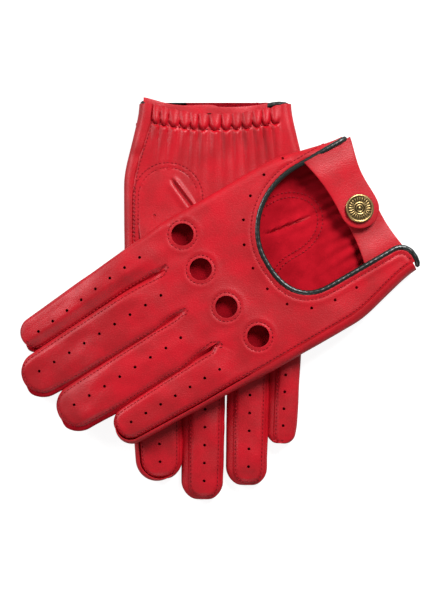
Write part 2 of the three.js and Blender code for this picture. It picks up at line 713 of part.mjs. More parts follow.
function strapTab(side) {
  const root = -(CUFF_WIDTH / 2 - KEYHOLE_INDEX_MARGIN) + STRAP_HINGE_OFFSET;
  const end = steps(-Math.PI / 2, Math.PI / 2, 8).map((angle) => [
    SNAP.u - STRAP_END_RADIUS * Math.sin(angle),
    SNAP.v + STRAP_END_RADIUS * Math.cos(angle),
  ]);
  const halfway = (root + SNAP.v) / 2;
  const outline = [
    [STRAP_EDGES.fingerSide + TAB_ROOT_SHIFT, root],
    [STRAP_MIDDLE + STRAP_END_RADIUS, halfway],
    ...end,
    [SNAP.u - STRAP_END_RADIUS - TAB_SHOULDER, halfway],
    [STRAP_MIDDLE - STRAP_ROOT_HALF, root],
  ];
  return punched(outline, snapLayers(side).tab);
}

function strapAnchor(side) {
  const root = CUFF_WIDTH / 2 - KEYHOLE_LITTLE_MARGIN + PIPING_CLEAR + ANCHOR_UNDER;
  const radius = STRAP_END_RADIUS - ANCHOR_NARROWER;
  const end = steps(-Math.PI / 2, Math.PI / 2, 8).map((angle) => [
    SNAP.u + radius * Math.sin(angle),
    SNAP.v - radius * Math.cos(angle),
  ]);
  const outline = [[STRAP_EDGES.cuffSide, root], ...end, [STRAP_EDGES.fingerSide, root]];
  return punched(outline, snapLayers(side).anchor);
}

// The cap: a low dome with a rolled rim, and its rivet down through the tab.
function snapCap(side) {
  const { top, capUnder, socket } = snapLayers(side);
  const profile = [
    [0, socket - SOCKET_WALL],
    [RIVET_RADIUS, socket - SOCKET_WALL],
    [RIVET_RADIUS, capUnder],
    [CAP_RADIUS - CAP_EDGE.under, capUnder],
    [CAP_RADIUS, (capUnder + top) / 2],
    [CAP_RADIUS - CAP_EDGE.over, top],
    [0, top],
  ];
  return turned(profile, { ...SNAP, w: 0 }, 32);
}

// The socket: a ring with a round pocket below for the stud's nub.
function snapSocket(side) {
  const { socket } = snapLayers(side);
  const bottom = socket - SOCKET_HEIGHT;
  const profile = [
    [RIVET_RADIUS + GAP, socket],
    [RIVET_RADIUS + GAP, socket - SOCKET_WALL],
    [NUB_RADIUS + GAP, socket - SOCKET_WALL],
    [NUB_RADIUS + GAP, bottom],
    [SOCKET_RADIUS - SOCKET_TAPER, bottom],
    [SOCKET_RADIUS, socket],
    [RIVET_RADIUS + GAP, socket],
  ];
  return turned(profile, { ...SNAP, w: 0 }, 24);
}

// The stud: a flange on the anchor with a nub that snaps into the socket.
function snapStud(side) {
  const { stud } = snapLayers(side);
  const [under, nub] = [stud - FLANGE_HEIGHT, stud + NUB_HEIGHT];
  const flange = SOCKET_RADIUS - SOCKET_TAPER;
  const profile = [
    [0, under + STUD_HOLLOW],
    [RIVET_RADIUS + GAP, under + STUD_HOLLOW],
    [RIVET_RADIUS + GAP, under],
    [flange, under],
    [flange, stud],
    [NUB_RADIUS, stud],
    [NUB_RADIUS, nub - NUB_EDGE.down],
    [NUB_RADIUS - NUB_EDGE.across, nub],
    [0, nub],
  ];
  return turned(profile, { ...SNAP, w: 0 }, 24);
}

// The post: a flange under the anchor whose rivet holds the stud.
function snapPost(side) {
  const { anchor, post } = snapLayers(side);
  const flange = SOCKET_RADIUS - SOCKET_TAPER;
  const profile = [
    [0, post - FLANGE_HEIGHT],
    [flange - FLANGE_EDGE, post - FLANGE_HEIGHT],
    [flange, post],
    [RIVET_RADIUS, post],
    [RIVET_RADIUS, anchor],
    [0, anchor],
  ];
  return turned(profile, { ...SNAP, w: 0 }, 24);
}

// ---------------------------------------------------------------- the elastic in the palm's cuff
function wristElastic(side) {
  const half = CUFF_WIDTH / 2 - FOLD - ELASTIC_FROM_FOLD;
  const line = (offset) =>
    steps(-half, half, 8).map((v) => {
      const u = hemEdge("palm", v) + ELASTIC_FROM_HEM + offset;
      return [u, v, LEATHER + GAP];
    });
  return new Sheet().grid([line(0), line(ELASTIC_WIDTH)]).thicken(ELASTIC_HEIGHT, -1);
}

// ---------------------------------------------------------------- both gloves
function laidOut(solid, toWorld) {
  const mesh = solid.getMesh();
  const coordinates = [];
  for (let i = 0; i < mesh.numVert; i++) {
    const [u, v, w] = mesh.vertProperties.slice(i * mesh.numProp, i * mesh.numProp + 3);
    coordinates.push(...toWorld(u, v, w));
  }
  return geometryOf(solidOf(coordinates, [...mesh.triVerts]));
}

function piecesOf(side) {
  const pieces = {
    back_panel: [backPanel(side), "leather"],
    palm_panel: [palmPanel(side), "leather"],
    thumb: [thumb(side), "leather"],
    strap_tab: [strapTab(side), "leather"],
    strap_anchor: [strapAnchor(side), "leather"],
    snap_cap: [snapCap(side), "brass"],
    snap_socket: [snapSocket(side), "brass"],
    snap_stud: [snapStud(side), "brass"],
    snap_post: [snapPost(side), "brass"],
    keyhole_piping: [piping(side), "piping"],
    wrist_elastic: [wristElastic(side), "elastic"],
  };
  for (let k = 0; k < 3; k++)
    pieces[`fourchette_${FINGERS[k]}_${FINGERS[k + 1]}`] = [fourchette(side, k), "leather"];
  knucklePlaces().forEach((place, k) => {
    pieces[`knuckle_facing_${FINGERS[k]}`] = [knuckleFacing(place), "lining"];
  });
  return pieces;
}

const gloves = new THREE.Group();
for (const [hand, side] of Object.entries(SIDES))
  for (const [name, [solid, material]] of Object.entries(piecesOf(side))) {
    const flat = name.startsWith("strap_") || name.startsWith("snap_");
    const mesh = new THREE.Mesh(
      laidOut(solid, flat ? flatWorldOf(side) : worldOf(side)),
      new THREE.MeshStandardMaterial(materials[material]),
    );
    mesh.name = `${hand}_${name}`;
    gloves.add(mesh);
  }

// The frame's origin is on the table, under the middle of the pair.
const extent = new THREE.Box3().setFromObject(gloves);
const middle = extent.getCenter(new THREE.Vector3());
gloves.position.set(-middle.x, -middle.y, -extent.min.z);

export default gloves;
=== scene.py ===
# %% [markdown]
# # A pair of leather driving gloves
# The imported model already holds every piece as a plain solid: two gloves laid crossed, one palm up
# below and one palm down on top. This script dresses them. Each leather skin becomes a fine sheet
# worked out from a few formulas, with its seams, stitches, holes and gathers, and every finish is
# built from shader nodes.

# %% Load the frame
import math

import bmesh
import bpy
import numpy as np
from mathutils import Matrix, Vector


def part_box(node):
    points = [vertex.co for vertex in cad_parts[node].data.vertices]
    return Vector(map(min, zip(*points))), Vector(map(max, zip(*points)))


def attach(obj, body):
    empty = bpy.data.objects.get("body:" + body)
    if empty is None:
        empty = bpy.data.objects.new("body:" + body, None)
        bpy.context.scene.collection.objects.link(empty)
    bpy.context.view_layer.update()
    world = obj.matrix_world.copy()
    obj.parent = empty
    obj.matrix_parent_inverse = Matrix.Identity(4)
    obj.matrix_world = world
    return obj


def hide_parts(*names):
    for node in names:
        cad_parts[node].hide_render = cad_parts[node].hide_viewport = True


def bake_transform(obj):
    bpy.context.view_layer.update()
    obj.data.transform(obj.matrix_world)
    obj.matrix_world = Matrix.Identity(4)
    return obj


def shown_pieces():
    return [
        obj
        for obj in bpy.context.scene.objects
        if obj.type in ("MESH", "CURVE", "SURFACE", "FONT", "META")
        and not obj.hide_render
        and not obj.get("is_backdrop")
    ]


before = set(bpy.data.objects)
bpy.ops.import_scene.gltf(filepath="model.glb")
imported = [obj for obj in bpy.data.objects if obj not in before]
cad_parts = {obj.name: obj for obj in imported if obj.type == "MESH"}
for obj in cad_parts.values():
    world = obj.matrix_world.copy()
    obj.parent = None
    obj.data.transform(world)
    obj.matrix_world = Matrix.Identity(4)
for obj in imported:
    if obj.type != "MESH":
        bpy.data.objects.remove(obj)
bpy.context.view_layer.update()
scene = bpy.context.scene

# %% [markdown]
# ## One plan for both gloves
# A glove is easiest to describe flat. Here u runs from the cuff edge to the fingertips, v from the
# index side to the little finger side, and w from the palm skin up to the back skin, in
# millimetres. Both gloves share that plan; a last step lays it into the model's frame. The left
# glove keeps w upwards, the right glove turns it down.

# %% Sizes of the plan
MM = 0.001
HAND_WIDTH = 96.0
CUFF_WIDTH = 80.0
CUFF_FLARE = 45.0
HAND_LENGTH = 118.0
CROTCH_CURVE = 0.008
CROTCH_CENTRE = -8.0
FINGERTIPS = (200.5, 210.5, 203.0, 181.5)
HAND_HEIGHT = 7.6
CUFF_HEIGHT = 9.2
CROWN = 0.5
TIP_DROP = 0.9
FOLD = 4.2
FINGER_FOLD = 2.4
CUFF_WRAP = 2.5
SLIT = 1.6
LEATHER = 0.9
SEAM_GAP = 0.12
SEAM_ROW = 1.5  # a stitch row's distance from the seam it holds
KNUCKLES = ((98.3, -0.387), (99.1, -0.175), (97.3, 0.071), (90.6, 0.295))  # place, share across
KNUCKLE_RADIUS = 5.8
KNUCKLE_ROW = 7.5  # radius of the stitch row round a knuckle hole
SNAP = (11.6, -2.8)
THUMB_START = 50.0
FINGERS = ("index", "middle", "ring", "little")

# root is each finger's share of the hand's width, tip and half its centre and half width at the
# tip, as shares too. arch is the length and half width of the thumb's seam, dart a pinched fold
# from one place to another. wide adds to a finger on its two sides, back_inset says how far its
# back stands inside its edges, palm_shift moves its palm seams, tuck moves the piping's end in,
# proud lifts the piping and cap_proud lifts the snap's cap.
GLOVES = {
    "left": dict(
        palm_up=False, heading=210, root=(0.219, 0.257, 0.251, 0.273), tip=(-0.317, -0.12, 0.135, 0.37),
        half=(0.0927, 0.104, 0.106, 0.098), thumb_across=-0.15, thumb_turn=34, arch=(21.0, 16.6),
        dart=((62.2, -16.2), (33.8, -12.1)), proud=0.85, palm_shift=0.0,
        cap_proud=0.8, back_inset=(0.3, 1.9), wide=((0, 2.0), (1.1, 4.1), (1.1, 3.9), (1.0, 0)), tuck=0.0,
    ),
    "right": dict(
        palm_up=True, heading=270, root=(0.312, 0.25, 0.243, 0.195), tip=(-0.307, -0.077, 0.165, 0.359),
        half=(0.122, 0.11, 0.108, 0.083), thumb_across=-0.258, thumb_turn=0, arch=(18.0, 18.2),
        dart=((39.5, -23.5), (64.0, -5.5)), proud=0.0, palm_shift=1.4,
        cap_proud=-0.1, back_inset=(0.8, 0.8), wide=((0, 0.6), (0.6, 0.6), (0.6, 0.6), (0.6, 0)), tuck=2.2,
    ),
}


def mix(a, b, t):
    return a + (b - a) * t


def smooth(x):
    x = np.clip(x, 0.0, 1.0)
    return x * x * (3 - 2 * x)


def bell(x, width):
    """A smooth bump of height 1 at x = 0 that is gone two widths away."""
    return np.exp(-(x / width) ** 2)


def half_width(u):
    return mix(CUFF_WIDTH, HAND_WIDTH, smooth(u / CUFF_FLARE)) / 2


def fold_at(u):
    return mix(FOLD, FINGER_FOLD, smooth((u - HAND_LENGTH * 0.7) / 60))


def wrap_at(u):
    return CUFF_WRAP * (1 - smooth(u / 60))


def crotch(v):
    return HAND_LENGTH - CROTCH_CURVE * (v - CROTCH_CENTRE) ** 2


def back_level(u, v):
    """Height of the back skin: a constant hand height, higher at the cuff, with a low crown across
    the middle.
    """
    height = mix(CUFF_HEIGHT, HAND_HEIGHT, smooth((u - 10) / 28))
    crown = 1 - np.minimum(1, (v / (half_width(u) - FOLD - 1)) ** 2)
    return height + CROWN * crown * (1 - smooth((u - HAND_LENGTH) / 40))


# %% [markdown]
# ## Laying the gloves down
# The lower glove is flat on the table. The upper one lies over it, so its height follows a smooth
# step that runs from the top of the lower glove down to the table on both sides. The snap caps of
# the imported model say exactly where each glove's plan begins, so nothing is fitted by eye.

# %% From the plan to the frame
DRAPE_HEIGHT = 12.0
DRAPE_END = 0.6
DRAPE_RUN = (54.0, 60.0)


def cap_centre(hand):
    low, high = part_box(f"{hand}_snap_cap")
    return (np.array(low) + np.array(high))[:2] / 2 / MM


for hand, glove in GLOVES.items():
    turn = math.radians(glove["heading"])
    glove["ahead"] = np.array([math.cos(turn), math.sin(turn)])
    glove["aside"] = np.array([-math.sin(turn), math.cos(turn)])
    glove["cuff"] = cap_centre(hand) - SNAP[0] * glove["ahead"] - SNAP[1] * glove["aside"]
LOWER_AXIS = GLOVES["right"]["cuff"][0]
print("cuff places", GLOVES["left"]["cuff"].round(2), GLOVES["right"]["cuff"].round(2))


def drape(x):
    """Height of the upper glove's palm skin: flat over the lower glove, then a smooth step down on
    each side.
    """
    x = x - LOWER_AXIS
    edge = HAND_WIDTH / 2 + 1
    past = np.where(x < 0, (-x - edge) / DRAPE_RUN[0], (x - edge) / DRAPE_RUN[1])
    return mix(DRAPE_HEIGHT, DRAPE_END, smooth(past))


BELOW = -9.0  # tools that pass through a skin may reach this far under the table


def lay(glove, points, lowest=0.03):
    """Plan points (..., 3) in millimetres to places in the frame, in metres."""
    u, v, w = points[..., 0], points[..., 1], points[..., 2]
    flat = glove["cuff"] + u[..., None] * glove["ahead"] + v[..., None] * glove["aside"]
    z = np.maximum(lowest, back_level(u, v) - w) if glove["palm_up"] else drape(flat[..., 0]) + w
    return np.concatenate([flat, z[..., None]], -1) * MM


def lay_stiff(glove, points):
    """The same for the strap and the snap, which keep the slope that the glove has at the snap."""
    level = back_level(SNAP[0], SNAP[1])
    middle = glove["cuff"] + SNAP[0] * glove["ahead"] + SNAP[1] * glove["aside"]
    base = 0.0 if glove["palm_up"] else float(drape(middle[0])) + level
    slope = 0.0 if glove["palm_up"] else float(drape(middle[0] + 1) - drape(middle[0] - 1)) / 2
    flat = glove["cuff"] + points[..., :1] * glove["ahead"] + points[..., 1:2] * glove["aside"]
    rise = (points[..., 2] - level) * (-1 if glove["palm_up"] else 1)
    z = base + slope * (flat[..., 0] - middle[0]) + rise
    return np.concatenate([flat, z[..., None]], -1) * MM


# %% [markdown]
# ## Uneven leather
# Real leather is never a perfect surface. A lattice of random heights, blended smoothly between its
# points, gives slow swells; stretched along one direction the same lattice gives creases. Seeded
# numbers keep it repeatable.

# %% Value noise
def noise(u, v, scale_u, scale_v, seed):
    """Random heights from -1 to 1 on a 64 by 64 lattice, blended with a smooth step along u and v."""
    lattice = np.random.default_rng(seed).uniform(-1, 1, (64, 64))
    a, b = u / scale_u + 31.7, v / scale_v + 17.3
    i, j = np.floor(a).astype(int), np.floor(b).astype(int)
    p, q = smooth(a - i), smooth(b - j)
    near = mix(lattice[i % 64, j % 64], lattice[(i + 1) % 64, j % 64], p)
    far = mix(lattice[i % 64, (j + 1) % 64], lattice[(i + 1) % 64, (j + 1) % 64], p)
    return mix(near, far, q)


def distance_to(points, u, v):
    """Distance from each (u, v) to the nearest of a dense line of points."""
    found = np.full(u.shape, 1e9)
    for start in range(0, len(points), 64):
        part = points[start : start + 64]
        gap = np.hypot(u[..., None] - part[:, 0], v[..., None] - part[:, 1])
        found = np.minimum(found, gap.min(-1))
    return found


# %% [markdown]
# ## The keyhole
# The back of a driving glove is cut away in a keyhole over the wrist. Its edge is two quarter
# arches of rounded squares, one plain and one boxier, then a flare that carries the black piping
# out along the cuff edge.

# %% Keyhole line
KEYHOLE_TOP = 67.7
KEYHOLE_SIDES = (-38.0, 24.4)  # the piping's line on the index side and on the little finger side
KEYHOLE_CREST = -4.0
KEYHOLE_FLARE = 8.0
PIPING_ROW = 3.4  # the stitch row outside the piping


def keyhole_line(out, fine=40):
    """The piping's centre line moved outwards: up the index side, over the crest, down, and out
    along the cuff.
    """
    index, little = KEYHOLE_SIDES
    angle = np.linspace(0, np.pi / 2, fine)

    def arch(start, squareness, edge):
        power = 2 / squareness
        side = edge + np.sign(edge) * out
        u = start + (KEYHOLE_TOP + out - start) * np.sin(angle) ** power
        v = KEYHOLE_CREST + (side - KEYHOLE_CREST) * np.cos(angle) ** power
        return np.stack([u, v], -1)

    corner = np.array([KEYHOLE_FLARE - 1.4, little + KEYHOLE_FLARE])
    quarter = np.linspace(0, np.pi / 2, 14)
    flare = corner - (KEYHOLE_FLARE - out) * np.stack([np.sin(quarter), np.cos(quarter)], -1)
    first = np.stack([np.linspace(-1, 28, 20), np.full(20, index - out)], -1)
    second = np.stack([np.linspace(42, 9, 24), np.full(24, little + out)], -1)
    end = np.array([[-1.3, 34.5], [-0.9, 36.8], [0.2, 39.2]]) + [-out * 0.9, 0]
    parts = [first, arch(30, 2, index), arch(44, 2.5, little)[::-1][1:], second, flare, end]
    return np.concatenate(parts)


def spaced(line, pitch, closed=False):
    """A line of points taken again at an even pitch along its length, with the direction at each."""
    line = np.concatenate([line, line[:1]]) if closed else line
    step = np.linalg.norm(np.diff(line, axis=0), axis=1)
    keep = np.concatenate([[True], step > 1e-6])
    line = line[keep]
    along = np.concatenate([[0], np.cumsum(np.linalg.norm(np.diff(line, axis=0), axis=1))])
    count = max(2, int(round(along[-1] / pitch)) + (0 if closed else 1))
    at = np.linspace(0, along[-1], count, endpoint=not closed)
    points = np.stack([np.interp(at, along, line[:, c]) for c in range(line.shape[1])], -1)
    ahead = np.stack([np.interp(at + 0.4, along, line[:, c]) for c in range(line.shape[1])], -1)
    before = np.stack([np.interp(at - 0.4, along, line[:, c]) for c in range(line.shape[1])], -1)
    way = ahead - before
    return points, way / np.linalg.norm(way, axis=1, keepdims=True)


# %% [markdown]
# ## Where the thumb is set in
# The thumb is a separate piece let into the palm along an arch, held by two rows of stitches. The
# arch is half an ellipse; beyond its widest place the two sides run on towards the fingers.

# %% Thumb outline
THUMB_LENGTH = 72.0
THUMB_TUBE_HALF = 12.4
ARCH_ROW = 2.6  # from the arched seam in to its second row of stitches


def thumb_plan(glove, a, b):
    """A place beside the thumb's own axis, which turns more and more away from the arch."""
    turn = math.radians(glove["thumb_turn"]) * smooth((a - 2) / 46)
    u = THUMB_START + a * np.cos(turn) - b * np.sin(turn)
    v = glove["thumb_across"] * HAND_WIDTH + a * np.sin(turn) + b * np.cos(turn)
    return u, v


def arch_line(glove, inset, reach=20.0):
    """The arched seam, moved inwards: one side, half an ellipse round the base, and the other side."""
    angle = np.linspace(-np.pi / 2, np.pi / 2, 60)
    side = glove["arch"][1] - inset
    a = -(glove["arch"][0] - inset) * np.cos(angle)
    b = side * np.sin(angle)
    run = np.linspace(reach, 0, 30)
    a = np.concatenate([run, a, run[::-1]])
    b = np.concatenate([np.full(30, -side), b, np.full(30, side)])
    return np.stack(thumb_plan(glove, a, b), -1)


# %% [markdown]
# ## Relief on the skins
# Seams pull the leather down in a fine groove, the rim of each hole stands up a little, and elastic
# gathers the palm's hem into puffs. All of it is one function of the place on the plan, so skins
# and stitches agree.

# %% Relief of the back
def dart(glove, u, v):
    """A sharp pinch along a short line: a lip on one side of it and a hollow on the other, fading at
    its ends.
    """
    (u0, v0), (u1, v1) = glove["dart"]
    length = math.hypot(u1 - u0, v1 - v0)
    au, av = (u1 - u0) / length, (v1 - v0) / length
    along = (u - u0) * au + (v - v0) * av
    off = (v - v0) * au - (u - u0) * av
    ends = smooth(along / 5) * smooth((length - along) / 9)
    return ends * (0.6 * bell(off - 1.2, 1.2) - 0.8 * bell(off + 0.3, 0.8) + 0.2 * bell(off + 2.8, 1.6))


def seam_hollow(kind, u, v):
    """The skin dips where its side seam is pressed flat."""
    low, high = skin_edges(kind, u)
    edge = high - v if kind == "back" else v - low
    return -0.55 * bell(edge, 0.9) * smooth((u + 2) / 4)


def back_relief(glove, u, v):
    """Slow swells, creases at the finger roots, a welt along the piping, and a lip round each hole
    and slit.
    """
    swell = 0.35 * noise(u, v, 22, 18, 3) + 0.14 * noise(u, v, 9, 8, 4)
    roots = bell(u - 112, 16)
    folds = 0.22 * roots * noise(u, v, 26, 5.5, 5)
    rise = (swell + folds) * smooth((half_width(u) - np.abs(v)) / 8) + seam_hollow("back", u, v)
    off = distance_to(keyhole_line(0), u, v)
    rise += 0.45 * bell(off - 2.0, 1.0) - 0.32 * bell(off - PIPING_ROW, 0.55)
    rise += 0.25 * bell(off - 5.2, 1.6)
    for place, share in KNUCKLES:
        ring = np.hypot(u - place, v - share * HAND_WIDTH)
        rise += 0.22 * bell(ring - KNUCKLE_RADIUS - 0.3, 0.6) - 0.3 * bell(ring - KNUCKLE_ROW, 0.5)
        rise += 0.2 * bell(ring - 9, 1.4)
    for line_v in root_lines(glove)[1:-1]:
        slit = np.hypot(np.minimum(u - crotch(line_v) + 0.5, 0), v - line_v)
        rise -= 0.7 * bell(slit, 1.0) * smooth((u - crotch(line_v) + 3) / 3)
    if not glove["palm_up"]:
        rise -= 0.9 * bell(np.hypot(u - 84, (v + 6) * 0.6), 11)
    return rise


# %% Relief of the palm
PUFF_PITCH = 5.4
HEM_DEPTH = 8.0


def hem_edge(kind, v):
    """Where a skin starts at the cuff: the back almost straight, the palm cut back in its middle."""
    if kind == "back":
        return 1.2 * smooth((-v - 35) / 3) + 0 * v
    return 1.2 + 5.4 * (1 - (v / (CUFF_WIDTH / 2)) ** 2)


def puff_wave(v):
    """Counts the puffs along the hem; a slow noise makes some wider than others."""
    return (v + 2.2 * noise(v, 0 * v, 9, 1, 11)) / PUFF_PITCH


def gathers(u, v):
    """Puffs between the hem and the elastic, and pleats that fade out over the palm: both are the
    same wave.
    """
    beyond = u - hem_edge("palm", v) - HEM_DEPTH
    puff = np.abs(np.cos(np.pi * puff_wave(v)))
    line = beyond + 2.6 * (0.75 - puff)
    fade = mix(0.3, 1, smooth((-line) / 1.5) * smooth((line + 8.5) / 6))
    hem = 2.4 * (puff**0.6 - 0.6) * fade * smooth((-line + 0.5) / 1.2)
    spread = v * (1 - 0.004 * np.maximum(line, 0))
    pleat = 1.5 * (np.abs(np.cos(np.pi * puff_wave(spread))) ** 1.5 - 0.5) + noise(spread, u, 5.5, 45, 12)
    palm = 1.5 * pleat * np.exp(-(np.maximum(line, 0) / 13.0) ** 1.2) * smooth(line / 1.5)
    middle = smooth((CUFF_WIDTH / 2 - 4 - np.abs(v)) / 5)
    return middle * (hem + palm - 1.5 * bell(line, 0.75))


def hem_scallop(v):
    """The hem's edge runs out further at each puff and in between them."""
    middle = smooth((CUFF_WIDTH / 2 - 4 - np.abs(v)) / 5)
    return middle * 0.8 * (0.6 - np.abs(np.cos(np.pi * puff_wave(v))))


def palm_relief(glove, u, v):
    """Slow swells, the gathers and the thumb's seam. The upper glove's palm, seen inside, is pinched
    too.
    """
    swell = 0.3 * noise(u, v, 20, 16, 7) + 0.14 * noise(u, v, 8, 8, 8)
    rise = swell * smooth((half_width(u) - np.abs(v)) / 8) * smooth(u / 30) + gathers(u, v)
    seam = distance_to(arch_line(glove, 0), u, v)
    row = distance_to(arch_line(glove, ARCH_ROW), u, v)
    rise += -0.3 * bell(seam, 0.5) - 0.3 * bell(row, 0.5) + 0.15 * bell((seam + row) / 2 - 1.3, 1.0)
    if not glove["palm_up"]:
        rise -= 1.6 * dart(glove, u, v) - 0.5 * noise(u, v, 17, 9, 55) * bell(np.hypot(u - 46, v + 8), 24)
        rise -= 2.4 * bell(np.hypot((u - 95) / 13, (v + 2) / 30), 1.0)
    return rise + seam_hollow("palm", u, v)


# %% [markdown]
# ## The hand and four fingers as one sheet
# A skin is one grid over the hand and one over each finger, and they share the points where they
# meet. A finger's round tip comes from squeezing a square grid into a half disc: each coordinate
# shrinks by a root of the other. That keeps four-sided faces and needs no pole.

# %% Plan of a skin
FINE = 0.85
ROOT_BLEND = 14.0


def root_lines(glove):
    """The five lines beside and between the fingers at their roots."""
    return -HAND_WIDTH / 2 + HAND_WIDTH * np.concatenate([[0], np.cumsum(glove["root"])])


def skin_edges(kind, u):
    """Where a skin's own sheet ends on each side: at its fold, or a little short of the other skin's
    fold.
    """
    half, fold = half_width(u), fold_at(u)
    if kind == "back":
        return -(half - fold), half - fold - SEAM_GAP
    return -(half - fold - wrap_at(u) - SEAM_GAP), half - fold


def hand_plan(glove, kind, row, column):
    """Plan place of the hand's grid: row 0 to 1 from hem to crotches, column 0 to 4 across the
    fingers.
    """
    lines = root_lines(glove)
    place = np.interp(column, np.arange(5), lines)
    share = (place - lines[0]) / HAND_WIDTH
    hem = hem_edge(kind, place * CUFF_WIDTH / HAND_WIDTH)
    u = mix(hem, crotch(place), row)
    low, high = skin_edges(kind, u)
    return u, mix(low, high, share)


class Finger:
    """One finger of one skin: a straight strip that narrows to its tip, closed by a half disc."""

    def __init__(self, glove, kind, k):
        lines = root_lines(glove)
        middle = (lines[k] + lines[k + 1]) / 2
        self.glove, self.kind, self.k = glove, kind, k
        self.root = np.array([crotch(middle), middle])
        tip = np.array([FINGERTIPS[k], glove["tip"][k] * HAND_WIDTH])
        self.length = float(np.linalg.norm(tip - self.root))
        self.along = (tip - self.root) / self.length
        self.across = np.array([-self.along[1], self.along[0]])
        self.root_half = (lines[k + 1] - lines[k] - SLIT) / 2
        self.tip_half = glove["half"][k] * HAND_WIDTH
        self.outer = {0: -1, 3: 1}.get(k, 0)
        self.folded = (kind == "back") == (self.outer < 0)
        plain_end = 1.6 if kind == "back" else 2.2
        self.end = self.length - (self.fold_inset(self.length) if self.outer else plain_end)
        self.cap = self.half(self.end) * 0.95
        self.flat = self.end - self.cap

    def fold_inset(self, x):
        """How far the skin stands in on the glove's own side: by the fold, and by a gap where it
        isn't its own.
        """
        return fold_at(self.root[0] + x) + (0 if self.folded else SEAM_GAP + 0.2)

    def inset(self, sign, x):
        """How far the skin stands in from the finger's full width, on one side."""
        if sign == self.outer:
            return self.fold_inset(x)
        if self.kind == "back":
            seam = self.glove["back_inset"][int(sign > 0)]
        else:
            seam = 2.6 - sign * self.glove["palm_shift"]
        return mix(0.4, seam, smooth(x / 30))

    def edges(self, x):
        half = mix(self.root_half, self.tip_half, x / self.length)
        full = smooth(x / 22) * (1 - 0.3 * smooth((x - self.length + 34) / 34))
        less, more = (extra * full for extra in self.glove["wide"][self.k])
        return -(half + less - self.inset(-1, x)), half + more - self.inset(1, x)

    def half(self, x):
        low, high = self.edges(x)
        return (high - low) / 2

    def plan(self, x, t, tip=0.0):
        """Place at x along and t across; tip runs 0 to 1 through the half disc beyond the straight
        part.
        """
        u0, v0 = hand_plan(self.glove, self.kind, 1.0, self.k + (t + 1) / 2)
        off_u, off_v = u0 - self.root[0], v0 - self.root[1]
        blend = smooth(x / ROOT_BLEND)
        squeeze = np.sqrt(1 - t * t * np.sign(tip) / 2)
        a = x + (off_u * self.along[0] + off_v * self.along[1]) * (1 - blend) + self.cap * tip * squeeze
        low, high = self.edges(np.minimum(x + self.cap * tip, self.end))
        straight = (high + low) / 2 + t * (high - low) / 2 * np.sqrt(1 - tip * tip / 2)
        b = mix(off_u * self.across[0] + off_v * self.across[1], straight, blend)
        u = self.root[0] + self.along[0] * a + self.across[0] * b
        v = self.root[1] + self.along[1] * a + self.across[1] * b
        return u, v, a

    def level(self, a, t, tip):
        """How far the skin stands in: rolled down at its seams, lower at the tip, higher along its
        middle.
        """
        folded = self.outer and self.folded
        near = np.maximum(0, -t * self.outer) if folded else (np.abs(t) ** 6 + tip**6) ** (1 / 6)
        width = self.half(np.clip(a, 0, self.end))
        roll = np.clip(1 - width * (1 - np.minimum(near, 1)) / 3.2, 0, 1)
        edge = 2.2 * (1 - np.sqrt(1 - roll**2 * 0.97)) * smooth((a + 2) / 9)
        groove = 0.34 * bell(width * (1 - near) - 1.5, 0.5) * smooth(a / 5)
        crown = 1.1 * (1 - t * t) * smooth(a / 20) * (1 - 0.5 * tip)
        return TIP_DROP * smooth((a - self.length + 22) / 22) + edge + groove - crown

    def lean(self, a, t):
        """The upper glove's index tucks its inner side under the middle finger, whose edge rides up
        over it.
        """
        if self.glove["palm_up"] or self.k > 1:
            return 0 * a * t
        down = -2.2 * smooth(t * 1.2 + 0.1) if self.k == 0 else 1.1 * smooth(-t * 1.2 - 0.1)
        return down * smooth((a - 4) / 20)

    def skin(self, x, t, tip=0.0):
        """Full place of the skin, with its relief. The hand's own relief fades out along the finger."""
        u, v, a = self.plan(x, t, tip)
        inset = self.level(a, t, tip)
        rough = 0.38 * noise(u, v, 14, 7, 21 + self.k) + 0.12 * noise(u, v, 5, 4, 31 + self.k)
        ripple = rough * smooth(a / 15) * smooth(self.half(np.clip(a, 0, self.end)) * (1 - np.abs(t)) / 3)
        fade = 1 - smooth(a / 16)
        if self.kind == "back":
            w = back_level(u, v) - inset + back_relief(self.glove, u, v) * fade + ripple + self.lean(a, t)
        else:
            w = inset - palm_relief(self.glove, u, v) * fade - ripple + self.lean(a, t) * (self.k > 0)
        return np.stack(np.broadcast_arrays(u, v, w), -1)


def hand_skin(glove, kind, row, column):
    """Full place of the skin over the hand, with its relief and the scalloped hem."""
    u, v = hand_plan(glove, kind, row, column)
    if kind == "back":
        w = back_level(u, v) + back_relief(glove, u, v)
    else:
        w = -palm_relief(glove, u, v)
        u = u + hem_scallop(v) * (1 - smooth((u - hem_edge("palm", v)) / 6))
    return np.stack(np.broadcast_arrays(u, v, w), -1)


# %% [markdown]
# ## Folding a skin round the side of the hand
# The back skin rolls over the index side and the palm skin over the little finger's side. Each roll
# is half an ellipse swept along the skin's edge, from the seamless side to the seam. Cross seams
# near the knuckles show as fine grooves.

# %% Fold strips
FOLD_COLUMNS = 14


